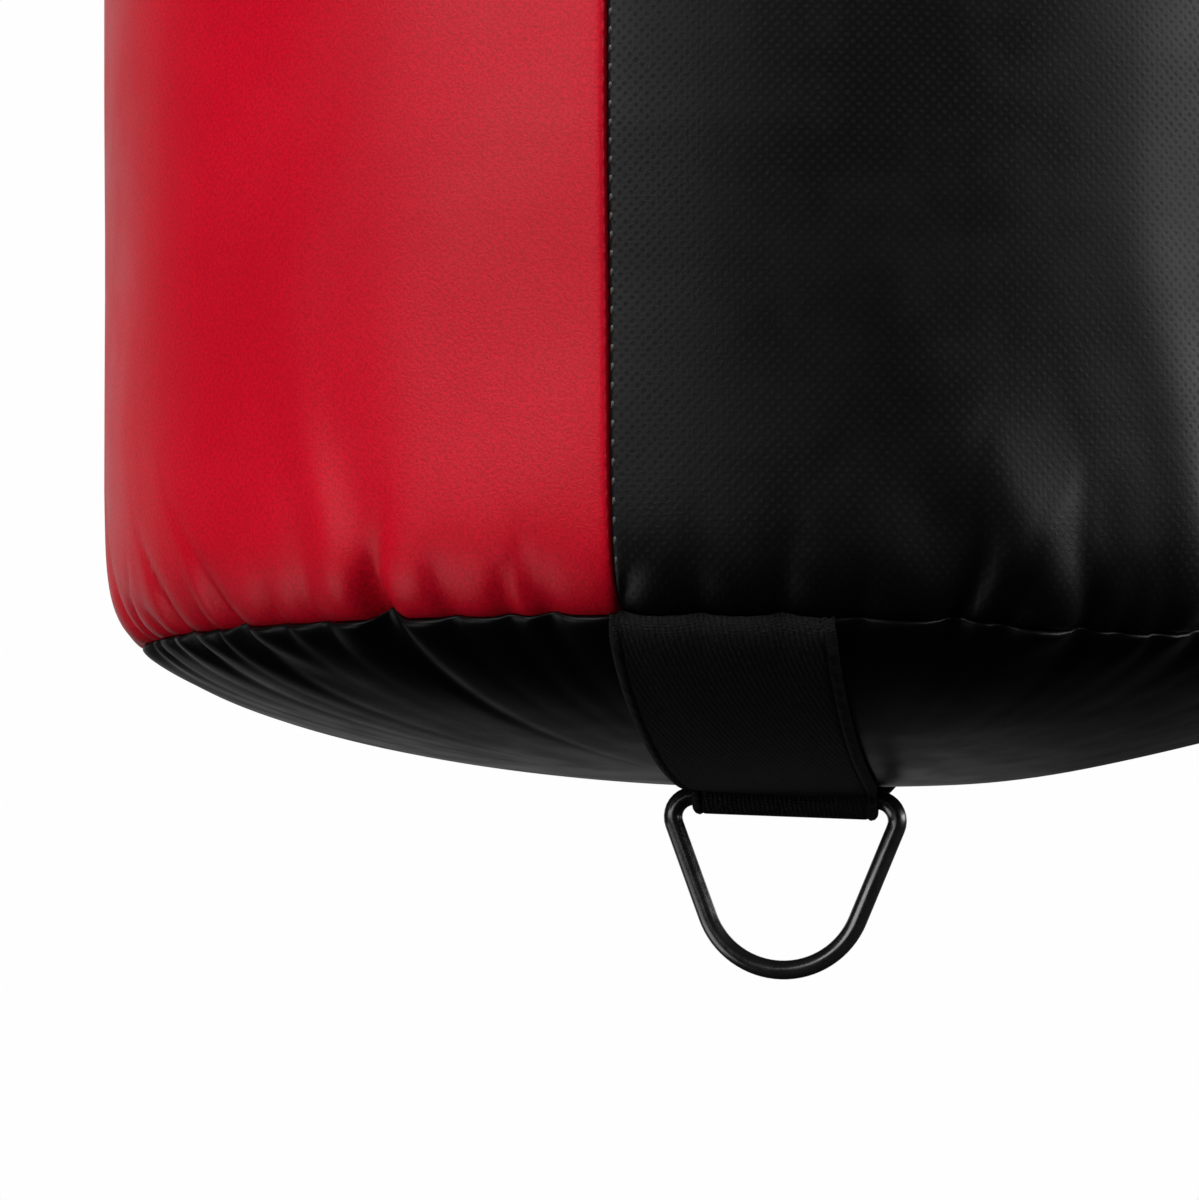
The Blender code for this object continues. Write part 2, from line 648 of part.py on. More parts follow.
def make_yoke():
    """U-shaped yoke with the shank's hole in its plate and the pin's holes in its legs."""
    inner, outer = YOKE_INNER_HALF, YOKE_INNER_HALF + YOKE_LEG
    foot = PIN_Z - YOKE_HALF_WIDTH
    under = YOKE_TOP_Z - YOKE_PLATE
    round_off = 3 * YOKE_BEND
    shoulder = arc((outer - round_off, YOKE_TOP_Z - round_off), round_off, 90, 0, 4)
    inside = arc((inner - YOKE_BEND, under - YOKE_BEND), YOKE_BEND, 0, 90, 3)
    right = shoulder + [(outer, foot), (inner, foot)] + inside
    left = [(-x, z) for x, z in reversed(right)]
    yoke = to_mesh(plate("swivel_yoke", [right + left], 2 * YOKE_HALF_WIDTH, "zinc_steel",
                         upright((0, 0, 0), math.pi / 2)))
    half = YOKE_HALF_WIDTH - GAP / 3
    above = YOKE_TOP_Z + YOKE_PLATE
    rounded = arc((0, PIN_Z), half, 180, 360, 8) + [(half, above), (-half, above)]
    ends = plate("yoke_ends", [rounded], 4 * outer, "zinc_steel", upright((0, 0, 0)))
    boolean(yoke, to_mesh(ends), "INTERSECT")
    down = Matrix.Translation((0, 0, YOKE_TOP_Z))
    boolean(yoke, cylinder("shank_hole", SHANK_RADIUS + GAP, 0.04, "zinc_steel", down), "DIFFERENCE")
    boolean(yoke, cylinder("pin_hole", PIN_RADIUS + GAP, 0.06, "zinc_steel", pin_matrix(0)),
            "DIFFERENCE")


def pin_matrix(along):
    """A cylinder's place with its axis along Y at the pin, shifted along it."""
    return Matrix.Translation((0, along, PIN_Z)) @ Matrix.Rotation(math.pi / 2, 4, "X")


def make_yoke_pin():
    """Hex bolt through the yoke and its nut."""
    face = YOKE_INNER_HALF + YOKE_LEG + GAP
    end = face + BOLT_NUT + BOLT_END
    start = -face - BOLT_HEAD / 2
    bolt = cylinder("yoke_bolt", PIN_RADIUS, end - start, "zinc_steel",
                    pin_matrix((start + end) / 2), 20)
    hexagon = cylinder("bolt_head", BOLT_HEX_RADIUS, BOLT_HEAD, "zinc_steel", pin_matrix(start), 6)
    boolean(bolt, hexagon, "UNION")
    nut = cylinder("yoke_nut", BOLT_HEX_RADIUS, BOLT_NUT, "zinc_steel",
                   pin_matrix(face + BOLT_NUT / 2), 6)
    bore = cylinder("yoke_nut_bore", PIN_RADIUS + GAP, 0.03, "zinc_steel", pin_matrix(face), 20)
    boolean(nut, bore, "DIFFERENCE")


def hook_side():
    """Start and direction of the snap hook's straight open side, in its own XZ plane."""
    top = Vector((0, HOOK_WIRE - HOOK_TOP_RADIUS))
    bottom = Vector((0, HOOK_BOTTOM_Z + HOOK_BOTTOM_RADIUS))
    tilt = math.asin((HOOK_TOP_RADIUS - HOOK_BOTTOM_RADIUS) / (top.y - bottom.y))
    normal = Vector((math.cos(tilt), -math.sin(tilt)))
    start = top + normal * HOOK_TOP_RADIUS
    end = bottom + normal * HOOK_BOTTOM_RADIUS
    return top, bottom, math.degrees(tilt), start, (end - start).normalized(), end


def make_snap_hook():
    """Pear-shaped body, a gate that opens inwards and its pin."""
    top, bottom, tilt, start, down, end = hook_side()
    nose = start + down * NOSE_ALONG
    pivot = start + down * GATE_PIN_ALONG
    ear = pivot - down * EAR_PAST_PIN
    line = [tuple(nose)] + arc(top, HOOK_TOP_RADIUS, -tilt, 180 + tilt, 12)
    line += arc(bottom, HOOK_BOTTOM_RADIUS, 180 + tilt, 360 - tilt, 10) + [tuple(ear)]
    here = upright((0, 0, 0))
    body = to_mesh(tube("snap_hook_body", line, HOOK_WIRE, "zinc_steel", here, sides=10))
    hinge = Vector((pivot.x, 0, pivot.y))
    slot_half = Vector((0.02, GATE_TONGUE + GAP, GATE_SLOT_DEPTH))
    floor = Vector((0, 0, 0.002))
    slot = box("gate_slot", hinge - slot_half + floor, hinge + slot_half, "zinc_steel")
    boolean(body, slot, "DIFFERENCE")
    across = Matrix.Translation(hinge) @ Matrix.Rotation(math.pi / 2, 4, "X")
    boolean(body, cylinder("pin_bore", GATE_PIN_RADIUS + GAP, 0.03, "zinc_steel", across, 12),
            "DIFFERENCE")

    up = -down
    lower = pivot + up * GATE_BAR_START
    tip = nose + down * 2 * GAP
    bar = [(lower.x, 0, lower.y), (tip.x, 0, tip.y)]
    gate = to_mesh(tube("snap_hook_gate", bar, GATE_WIRE, "zinc_steel", sides=10))
    facing = math.degrees(math.atan2(up.y, up.x))
    knuckle = arc(pivot, GATE_KNUCKLE, facing + 90, facing + 270, 8)
    side = Vector((-up.y, up.x)) * GATE_KNUCKLE * 0.7
    inside = lower + up * EAR_PAST_PIN
    outline = knuckle + [tuple(inside - side), tuple(inside + side)]
    tongue = plate("gate_tongue", [outline], 2 * GATE_TONGUE, "zinc_steel", here)
    boolean(gate, to_mesh(tongue), "UNION")
    boolean(gate, cylinder("gate_bore", GATE_PIN_RADIUS + GAP, 0.02, "zinc_steel", across, 12),
            "DIFFERENCE")
    cylinder("gate_pin", GATE_PIN_RADIUS, 2 * HOOK_WIRE, "zinc_steel", across, 12)


def hang_from(name, place, members):
    """Parent pieces that move together to an empty on their joint's axis."""
    pivot = bpy.data.objects.new(name, None)
    pivot.location = place
    PARTS.objects.link(pivot)
    bpy.context.view_layer.update()
    for member in members:
        obj = bpy.data.objects[member]
        obj.parent = pivot
        obj.matrix_parent_inverse = pivot.matrix_world.inverted()
    return pivot


def set_pivots():
    """The chain of pivots: snap hook's bow, bearing, yoke bolt, and the small pieces' own axes."""
    hook = {"snap_hook_body", "gate_pin"}
    gate = {"snap_hook_gate"}
    eye = {"swivel_eye_bolt", "swivel_nut", "swivel_bearing"}
    yoke = {"swivel_yoke", "yoke_bolt", "yoke_nut"}
    ring = {"bottom_ring"}
    slider = {"zip_slider"}
    pull = {"zip_pull"}
    pieces = {obj.name for obj in PARTS.objects}
    bag = pieces - hook - gate - eye - yoke - ring - slider - pull
    _, _, _, start, down, _ = hook_side()
    hinge = start + down * GATE_PIN_ALONG
    hang_from("gate_pivot", (hinge.x, 0, hinge.y), gate)
    bow_pivot = hang_from("bow_pivot", (0, 0, HOOK_BOTTOM_Z), eye)
    spin_pivot = hang_from("spin_pivot", (0, 0, YOKE_TOP_Z), yoke)
    swing_pivot = hang_from("swing_pivot", (0, 0, PIN_Z), bag)
    ring_pivot = hang_from("ring_pivot", (0, 0, BOTTOM_BAR_Z), ring)
    zip_start = -ZIP_HALF_LENGTH + SLIDER_END_GAP + SLIDER_LENGTH / 2
    zip_pivot = hang_from("zip_pivot", (zip_start, 0, TOP_Z), slider | pull)
    links = [(spin_pivot, bow_pivot), (swing_pivot, spin_pivot), (ring_pivot, swing_pivot),
             (zip_pivot, swing_pivot)]
    bpy.context.view_layer.update()
    for child, parent in links:
        child.parent = parent
        child.matrix_parent_inverse = parent.matrix_world.inverted()


def smooth_round_pieces():
    for obj in PARTS.objects:
        if obj.type == "MESH":
            obj.data.shade_smooth()
            obj.data.set_sharp_from_angle(angle=math.radians(35))


clear_scene()
PARTS = new_collection("heavy_bag")
CUTTERS = new_collection("cutters")

make_side_panels()
make_bottom_panel()
make_top_panels()
make_filling()
make_bottom_strap()
make_bottom_ring()
make_zip()
for leg in range(len(STRAP_NAMES)):
    make_hanging_strap(leg)
    make_hanging_ring(leg)
    make_chain_leg(leg)
make_master_ring()
make_eye_bolt()
make_bearing()
make_yoke()
make_yoke_pin()
make_snap_hook()
set_pivots()
smooth_round_pieces()
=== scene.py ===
"""Looks for the hanging heavy bag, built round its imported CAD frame.

Metres, +Z up, in the CAD's frame: the bag hangs below the origin and its front faces -Y. Angles round
the bag start at the front and grow towards +X. "Along" a seam is measured in metres on the seam's
circle, from the middle of the bottom strap's front end.
"""

import json
import math

import bmesh
import bpy
import numpy as np
from mathutils import Matrix, Vector, noise


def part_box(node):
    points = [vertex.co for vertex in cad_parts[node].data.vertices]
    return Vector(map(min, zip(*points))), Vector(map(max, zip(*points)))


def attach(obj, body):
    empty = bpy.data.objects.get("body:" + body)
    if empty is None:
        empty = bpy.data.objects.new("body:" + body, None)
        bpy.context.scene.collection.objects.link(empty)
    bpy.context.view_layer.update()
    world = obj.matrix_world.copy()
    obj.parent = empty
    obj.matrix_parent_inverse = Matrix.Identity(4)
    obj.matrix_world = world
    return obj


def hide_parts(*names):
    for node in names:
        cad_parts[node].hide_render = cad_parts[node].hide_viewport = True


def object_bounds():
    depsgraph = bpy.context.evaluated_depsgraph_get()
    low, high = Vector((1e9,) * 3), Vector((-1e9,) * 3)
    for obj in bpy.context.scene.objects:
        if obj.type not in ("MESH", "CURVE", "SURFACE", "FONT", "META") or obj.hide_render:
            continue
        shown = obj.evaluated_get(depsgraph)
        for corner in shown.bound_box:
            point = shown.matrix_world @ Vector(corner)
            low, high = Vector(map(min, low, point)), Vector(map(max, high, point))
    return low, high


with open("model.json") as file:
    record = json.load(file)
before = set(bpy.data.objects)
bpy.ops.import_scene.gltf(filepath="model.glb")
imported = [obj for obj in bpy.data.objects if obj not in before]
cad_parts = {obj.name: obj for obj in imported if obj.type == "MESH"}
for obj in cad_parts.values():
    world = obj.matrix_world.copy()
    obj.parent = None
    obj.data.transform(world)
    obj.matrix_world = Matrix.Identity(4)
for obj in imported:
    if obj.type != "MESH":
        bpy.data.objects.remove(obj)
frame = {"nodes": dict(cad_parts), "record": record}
CAD_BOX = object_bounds()

# ---- Sizes read from the frame ----
BOTTOM_SEAM_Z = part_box("red_panel_left")[0].z
TOP_SEAM_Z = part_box("red_panel_left")[1].z
SIDE_HEIGHT = TOP_SEAM_Z - BOTTOM_SEAM_Z
BAG_RADIUS = (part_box("red_panel_right")[1].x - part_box("red_panel_left")[0].x) / 2
DOME_DEPTH = BOTTOM_SEAM_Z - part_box("bottom_panel")[0].z
TOP_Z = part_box("top_panel_front")[1].z
RING_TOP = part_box("bottom_ring")[1].z
STRAP_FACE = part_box("bottom_strap")[1].x

# ---- Sizes shared with the CAD source ----
SEAM_RADIUS = 0.1677
SHOULDER_DECAY = 0.0078
DOME_POWER = 0.65
FIRST_SEAM_DEG = -7.9
PANEL_DEG = 90
RING_WIRE = 0.0025
RING_HALF_WIDTH = 0.0296
RING_DEPTH = 0.0452
RING_CORNER = 0.0055
RING_ARC = 0.0212
WEBBING_WIDTH = 2 * STRAP_FACE
WEBBING_THICKNESS = 0.0011
TOP_FLAT_RADIUS = 0.150
ZIP_HALF_LENGTH = 0.135
ZIP_SLOT = 0.012
TAPE_HALF_WIDTH = 0.014
TAPE_TOP = TOP_Z - 0.0015
TEETH_TOP = TAPE_TOP + 0.0026
STRAP_AZIMUTHS_DEG = (45, 135, 225, 315)
STRAP_NAMES = ("right_rear", "left_rear", "left_front", "right_front")
STRAP_BAR_RADIUS = 0.155
STRAP_BAR_Z = TOP_Z + 0.022
STRAP_SEWN_LENGTH = 0.150
STRAP_BEND_DROP = 0.009
LINK_WIRE = 0.0025
LINK_INNER_LENGTH = 0.042
LINK_INNER_WIDTH = 0.010
LINKS_PER_LEG = 5
S_HOOK_LENGTH = 0.049
S_HOOK_RADIUS = 0.0075
MASTER_WIRE = 0.004
MASTER_RADIUS = 0.026
LEG_ANGLES_DEG = (12, -28, -12, 28)
MASTER_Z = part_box("master_ring")[0].z + MASTER_RADIUS + MASTER_WIRE
LINK_LENGTH = LINK_INNER_LENGTH + 2 * LINK_WIRE
LINK_HALF_WIDTH = LINK_INNER_WIDTH / 2 + LINK_WIRE
STRAP_STAND_OFF = 0.0014
LOOP_THICKNESS = 0.0010
LOOP_SLACK = 0.0005
LOOP_PINCH = 0.06
LOOP_TILT = math.radians(2.2)
RING_TILT = math.radians(1.5)

# ---- Surface detail ----
STITCH = 0.0042
PANEL_STEPS = 134
BELLY = 0.0020
BELLY_REACH = 0.09
# Depth, then size across.
LUMPS = ((0.0013, 0.110), (0.0005, 0.042))
TOP_LUMPS = (0.0016, 0.060)
LUMP_SEED, TOP_LUMP_SEED = 4, 11
# Depth, then how fast it fades away from the edge.
SEAM_ROLL = (0.0024, 0.00045)
SEAM_DIMPLE = (0.0004, 0.0016)
RIM_ROLL = (0.0009, 0.0005)
RIM_DIMPLE = (0.0005, 0.0013)
RIM_GAP = (0.0011, 0.0004)
# A selvedge's ridge and groove: height, distance from the edge, width.
SELVEDGE = ((0.00030, 0.0008, 0.0005), (-0.00034, 0.0018, 0.0004))
YARN = 0.0013
TOOTH_PITCH = 0.0024
TOOTH_HALF_LENGTH = 0.0010
TOOTH_OVERLAP, TOOTH_REACH = 0.0012, 0.0028
STOP_HALF_LENGTH = 0.0014
THREAD = 0.0004
# A stitch's bead: share of its length, share of its radius, height in radii.
BEAD = ((0.08, 0.3, -0.6), (0.25, 1.0, 0.3), (0.75, 1.0, 0.3), (0.92, 0.3, -0.6))
BEAD_SIDES = 6
HEM_WIDTH = 0.0094
HEM_THICKNESS = 0.0008
BOX_STITCH_HEIGHT = 0.046
BOX_STITCH_PITCH = 0.060
BOX_STITCH_MARGIN = 0.0045
GRID = 0.0021
EDGE_STEPS = (0.0, 0.0003, 0.0007, 0.0012, 0.0018, 0.0026, 0.0036, 0.0048)
SEAM_COLUMN = 3
SHARP_EDGE = math.radians(50)
EASED_EDGE = 0.0005

VINYL_SPECULAR = 0.21
COLOURS = {
    "red": (0.79, 0.0050, 0.024, 1),
    "black": (0.0036, 0.0036, 0.0037, 1),
    "webbing": (0.0090, 0.0086, 0.0082, 1),
    "paint": (0.026, 0.026, 0.028, 1),
    "thread": (0.012, 0.012, 0.012, 1),
    # Lighter than the other thread: partly its own colour, partly painted highlight on the stitches.
    "seam thread with painted highlight": (0.05, 0.05, 0.05, 1),
    "zinc": (0.56, 0.57, 0.60, 1),
}


# ---- Small mesh helpers ----
def link(obj):
    bpy.context.scene.collection.objects.link(obj)
    return obj


def grid_object(name, points, uvs, cyclic=False):
    """A mesh from an array of points in rows and columns, with UVs in metres."""
    rows, columns = points.shape[:2]
    across = columns if cyclic else columns - 1
    row, column = np.meshgrid(np.arange(rows - 1), np.arange(across), indexing="ij")
    following = (column + 1) % columns
    corners = [(row, column), (row, following), (row + 1, following), (row + 1, column)]
    faces = np.stack([r * columns + c for r, c in corners], axis=-1).reshape(-1, 4)
    mesh = bpy.data.meshes.new(name)
    mesh.from_pydata(points.reshape(-1, 3).tolist(), [], faces.tolist())
    layer = mesh.uv_layers.new(name="UVMap")
    flat = uvs.reshape(-1, 2)[faces.ravel()]
    layer.data.foreach_set("uv", flat.astype(np.float32).ravel())
    mesh.shade_smooth()
    return link(bpy.data.objects.new(name, mesh))


def bmesh_object(name, shape):
    """An object from a bmesh, which is freed."""
    mesh = bpy.data.meshes.new(name)
    shape.to_mesh(mesh)
    shape.free()
    mesh.shade_smooth()
    return link(bpy.data.objects.new(name, mesh))


def lumps(points, scale, seed):
    """Smooth noise from -1 to 1 at points, with features of about this scale in metres."""
    flat = points.reshape(-1, 3) / scale + seed * 17.3
    values = [noise.noise(Vector(p)) for p in flat]
    return np.array(values).reshape(points.shape[:-1])


# ---- Folds along the sewn rims ----
# Creases of the side panels: along, depth, half width, reach, in millimetres, and lean, sideways per
# upwards. The cloth swells between one crease and the next.
FRONT_CREASES = (
    (-193, 2.2, 2.6, 10, 0.4),
    (-178, 1.2, 2.2, 7, -0.5),
    (-163, 3.2, 2.8, 13, -0.4),
    (-149, 1.1, 2.0, 8, 0.4),
    (-136, 3.4, 3.0, 15, -0.5),
    (-118, 0.8, 3.0, 9, 0.3),
    (-104, 0.7, 2.4, 7, -0.2),
    (-84, 4.6, 3.0, 13, 0.2),
    (-64, 1.5, 2.6, 12, -0.4),
    (-50, 1.8, 2.2, 10, 0.4),
    (-39, 2.4, 2.8, 12, -0.4),
    (-22, 1.2, 2.6, 9, 0.5),
    (-5, 0.7, 4.0, 10, 0.0),
    (14, 1.0, 4.0, 12, 0.1),
    (31, 0.9, 4.0, 9, 0.0),
    (54, 3.2, 4.5, 18, 0.1),
    (64, 2.0, 3.5, 13, 0.3),
    (84, 2.6, 3.5, 16, -0.2),
    (93, 1.2, 2.4, 9, 0.35),
    (104, 1.1, 2.2, 8, -0.4),
    (117, 2.0, 4.0, 22, -0.1),
    (128, 1.2, 3.5, 16, 0.1),
)
# Broader swells and hollows above the creases, the same way; a swell has a depth below zero.
FRONT_SWELLS = (
    (-170, -0.5, 4.0, 22, 0.3),
    (-143, -0.6, 4.0, 26, -0.3),
    (-128, 0.8, 6.0, 30, 0.2),
    (-107, 1.3, 5.0, 44, 0.0),
    (-97, -1.5, 5.0, 45, -0.05),
    (-88, 1.5, 5.0, 44, 0.0),
    (-72, -1.2, 6.5, 42, 0.05),
    (-58, 0.7, 5.0, 36, -0.1),
    (-30, 0.5, 7.0, 30, 0.2),
    (23, -0.8, 3.4, 13, 0.0),
    (48, 1.8, 9.0, 50, 0.0),
    (58, -1.8, 3.2, 16, 0.6),
    (65, -2.4, 8.5, 55, -0.35),
    (82, 1.1, 6.0, 42, -0.12),
    (100, -2.2, 6.5, 65, 0.0),
    (117, 1.6, 6.0, 60, 0.0),
    (130, 1.2, 8.0, 60, 0.0),
)
# The bottom panel's own radial folds, the same way.
FRONT_RADIALS = (
    (-186, 0.7, 4.0, 14, 0.3),
    (-163, 1.0, 4.5, 18, -0.2),
    (-137, 1.8, 5.5, 24, 0.3),
    (-120, 0.6, 4.0, 14, 0.0),
    (-104, 1.0, 5.5, 18, -0.2),
    (-83, 2.0, 5.0, 26, -0.3),
    (-60, 0.8, 5.0, 15, 0.2),
    (-44, 1.0, 4.5, 20, -0.2),
    (52, 1.0, 7.0, 18, 0.2),
    (86, 1.0, 5.0, 18, -0.3),
    (108, 0.8, 6.0, 16, 0.2),
)
FRONT_FROM, FRONT_TO = -187, 128
SEAM_LENGTH = 2 * math.pi * SEAM_RADIUS
# Along, height and half width of the bottom seam's own bumps, in metres.
SEAM_BUMPS = ((-0.0825, 0.0016, 0.003), (0.086, -0.0020, 0.036))


def in_metres(rows):
    return [[value / 1000 for value in row[:4]] + [row[4]] for row in rows]


def more_folds(seed, start, end, gaps, depths, widths, reaches):
    """Folds for the parts of a rim that the front lists leave out, in millimetres."""
    random = np.random.default_rng(seed)
    rows = []
    place = start + random.uniform(*gaps)
    while place < end - gaps[0]:
        rows.append([place, random.uniform(*depths), random.uniform(*widths),
                     random.uniform(*reaches), random.uniform(-0.25, 0.25)])
        place += random.uniform(*gaps)
    return rows


ROUND_END = SEAM_LENGTH * 1000 + FRONT_FROM
CREASES = in_metres(FRONT_CREASES) + in_metres(
    more_folds(5, FRONT_TO, ROUND_END, (17, 30), (0.9, 3.0), (3.4, 5.0), (9, 22)))
SWELLS = in_metres(FRONT_SWELLS) + in_metres(
    more_folds(6, FRONT_TO + 10, ROUND_END, (20, 38), (-2.2, 1.4), (6, 11), (35, 70)))
RADIALS = in_metres(FRONT_RADIALS) + in_metres(
    more_folds(7, FRONT_TO + 10, ROUND_END, (22, 40), (0.6, 2.0), (5, 8), (16, 30)))
TOP_CREASES = in_metres(more_folds(8, 0, SEAM_LENGTH * 1000, (17, 30), (0.9, 2.8), (3.4, 5.0),
                                   (9, 22)))
TOP_SWELLS = in_metres(more_folds(9, 0, SEAM_LENGTH * 1000, (22, 40), (-1.8, 1.2), (6, 11),
                                  (35, 60)))


def round_offset(along, place):
    """Signed distance round the seam."""
    return (along - place + SEAM_LENGTH / 2) % SEAM_LENGTH - SEAM_LENGTH / 2


def hollows(folds, along, away, sharpness, widen):
    """Depth of single folds, along a rim and away from it."""
    total = np.zeros(np.broadcast(along, away).shape)
    for place, depth, width, reach, lean in folds:
        wander = 0.12 * reach * np.sin(2.6 * away / reach + 700 * place)
        offset = np.abs(round_offset(along, place + lean * away + wander))
        spread = width * np.maximum(0.35, 1 + widen * away / reach)
        total += depth * np.exp(-((offset / spread) ** sharpness) - (away / reach) ** 1.4)
    return total


def pillows(creases, along, away):
    """Swelling of the cloth between neighbouring creases, fading away from the rim."""
    total = np.zeros(np.broadcast(along, away).shape)
    order = sorted(creases)
    for here, after in zip(order, order[1:] + order[:1]):
        gap = (after[0] - here[0]) % SEAM_LENGTH
        middle = here[0] + gap / 2 + (here[4] + after[4]) / 2 * away
        share = np.clip(np.abs(2 * round_offset(along, middle) / gap), 0, 1)
        height = min(0.0020, 0.075 * gap)
        total += height * (1 - share ** 2.4) * np.exp(-((away / (0.62 * gap)) ** 1.3))
    return total


def side_fold(creases, swells, along, away):
    """How far a side panel is drawn inwards at a rim."""
    sharp = hollows(creases, along, away, 1.4, -0.3)
    broad = hollows(swells, along, away, 2.0, 0.6) * (1 - 0.6 * np.exp(-away / 0.010))
    return sharp + broad - pillows(creases, along, away)


def rim_lift(creases, along):
    """How far a rim rises at its creases."""
    total = np.zeros(along.shape)
    for place, depth, width, _, _ in creases:
        total += 0.30 * depth * np.exp(-((round_offset(along, place) / (1.2 * width)) ** 2))
    return total


def bottom_rim_shift(along):
    """The bottom seam's height above its plane: it dips a little towards the right and waves."""
    total = -0.0032 - 0.0024 * np.sin(along / SEAM_RADIUS) + rim_lift(CREASES, along)
    for place, height, width in SEAM_BUMPS:
        total += height * np.exp(-((round_offset(along, place) / width) ** 2))
    return total


def stitch_pucker(stitches, away, reach):
    """Needle dimples in a row, one at each whole stitch, fading away from the seam."""
    return (0.5 + 0.5 * np.cos(2 * math.pi * stitches)) * np.exp(-away / reach)


# ---- Side panels ----
def side_radius(height):
    """The CAD's side profile, with the belly that the hanging filling gives it."""
    far = SIDE_HEIGHT - height
    swell = 1 - np.exp(-height / SHOULDER_DECAY) - np.exp(-far / SHOULDER_DECAY)
    belly = BELLY * (1 - np.exp(-((height / BELLY_REACH) ** 2)))
    belly = belly * (1 - np.exp(-((far / BELLY_REACH) ** 2)))
    return SEAM_RADIUS + (BAG_RADIUS - SEAM_RADIUS) * swell + belly


def to_points(turn, radius, z):
    """Cylindrical to Cartesian, with turn 0 at the front."""
    return np.stack([radius * np.sin(turn), -radius * np.cos(turn), z], axis=-1)


def with_edges(steps, length):
    """Even steps from 0 to a length, with finer ones added near both ends."""
    inner = steps[(steps > EDGE_STEPS[-1]) & (steps < length - EDGE_STEPS[-1])]
    edges = np.array(EDGE_STEPS)
    return np.concatenate([edges, inner, length - edges[::-1]])


def side_panel(name, number):
    """One quarter of the bag's side: rolled edges, needle dimples, folds and lumps.

    Also gives the places of the needle holes beside its two vertical seams.
    """
    start = math.radians(FIRST_SEAM_DEG + number * PANEL_DEG)
    width = math.radians(PANEL_DEG) * BAG_RADIUS
    across = with_edges(np.arange(PANEL_STEPS + 1) * width / PANEL_STEPS, width)[None, :]
    low = with_edges(np.arange(0, SIDE_HEIGHT, STITCH / 2), SIDE_HEIGHT)[:, None]
    high = SIDE_HEIGHT - low
    turn = start + across / BAG_RADIUS
    along = turn * SEAM_RADIUS
    edge = np.minimum(across, width - across)
    stitches = across / width * PANEL_STEPS / 2

    radius = side_radius(low) + np.zeros_like(along)
    radius += smooth_lumps(to_points(turn + 0 * low, radius, low + 0 * along))
    radius -= side_fold(CREASES, SWELLS, along, low)
    radius -= side_fold(TOP_CREASES, TOP_SWELLS, along, high)
    between = 0.35 + 0.65 * (1 - stitch_pucker(low / STITCH, 0, 1))
    radius -= SEAM_ROLL[0] * between * np.exp(-edge / SEAM_ROLL[1])
    radius -= SEAM_DIMPLE[0] * stitch_pucker(low / STITCH, edge, SEAM_DIMPLE[1])
    radius -= RIM_ROLL[0] * (np.exp(-low / RIM_ROLL[1]) + np.exp(-high / RIM_ROLL[1]))
    radius -= RIM_DIMPLE[0] * stitch_pucker(stitches, np.minimum(low, high), RIM_DIMPLE[1])

    shift = bottom_rim_shift(along) * np.exp(-low / 0.030)
    shift = shift - rim_lift(TOP_CREASES, along) * np.exp(-high / 0.020)
    uvs = np.stack(np.broadcast_arrays(across - width / 2, low), axis=-1)
    points = to_points(turn + 0 * low, radius, BOTTOM_SEAM_Z + low + shift)
    holes = (np.round(2 * low / STITCH) % 2 == 0) & (np.minimum(low, high) > EDGE_STEPS[-1])
    seams = points[holes.ravel()][:, (SEAM_COLUMN, -1 - SEAM_COLUMN)]
    return grid_object(name, points, uvs), seams


def uneven(points):
    """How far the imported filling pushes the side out, in metres."""
    return sum(depth * lumps(points, size, LUMP_SEED + i) for i, (depth, size) in enumerate(LUMPS))


def smooth_lumps(points):
    """The same on a fine grid, worked out on a coarse one and blended between."""
    rows, columns = points.shape[:2]
    step = 8
    values = uneven(points[::step, ::step])
    row_at = np.arange(0, rows, step)
    column_at = np.arange(0, columns, step)
    wide = np.array([np.interp(np.arange(columns), column_at, line) for line in values])
    return np.array([np.interp(np.arange(rows), row_at, wide[:, i]) for i in range(columns)]).T


# ---- Bottom panel ----
def dome_profile(depth):
    """Radius and depth along the bottom panel, and the distance from its rim, finely sampled."""
    share = np.concatenate([np.linspace(0, 0.3, 400) ** 1.6, np.linspace(0.146, 1, 800)[1:]])
    radius = SEAM_RADIUS * np.sqrt(np.clip(1 - share ** (1 / DOME_POWER), 0, 1))
    drop = depth * share
    distance = np.concatenate([[0], np.cumsum(np.hypot(np.diff(radius), np.diff(drop)))])
    return distance, radius, drop


def bottom_sag(x, y):
    """The filling hangs lowest a little to the right of the middle, and less at the far right."""
    low = 0.0015 * np.exp(-((x - 0.056) ** 2 + y ** 2) / 0.030 ** 2)
    high = 0.0026 * np.clip((x - 0.07) / 0.06, 0, 1) ** 2
    return low - high * np.clip(1 - np.hypot(x, y) / SEAM_RADIUS, 0, 1) * 2.5


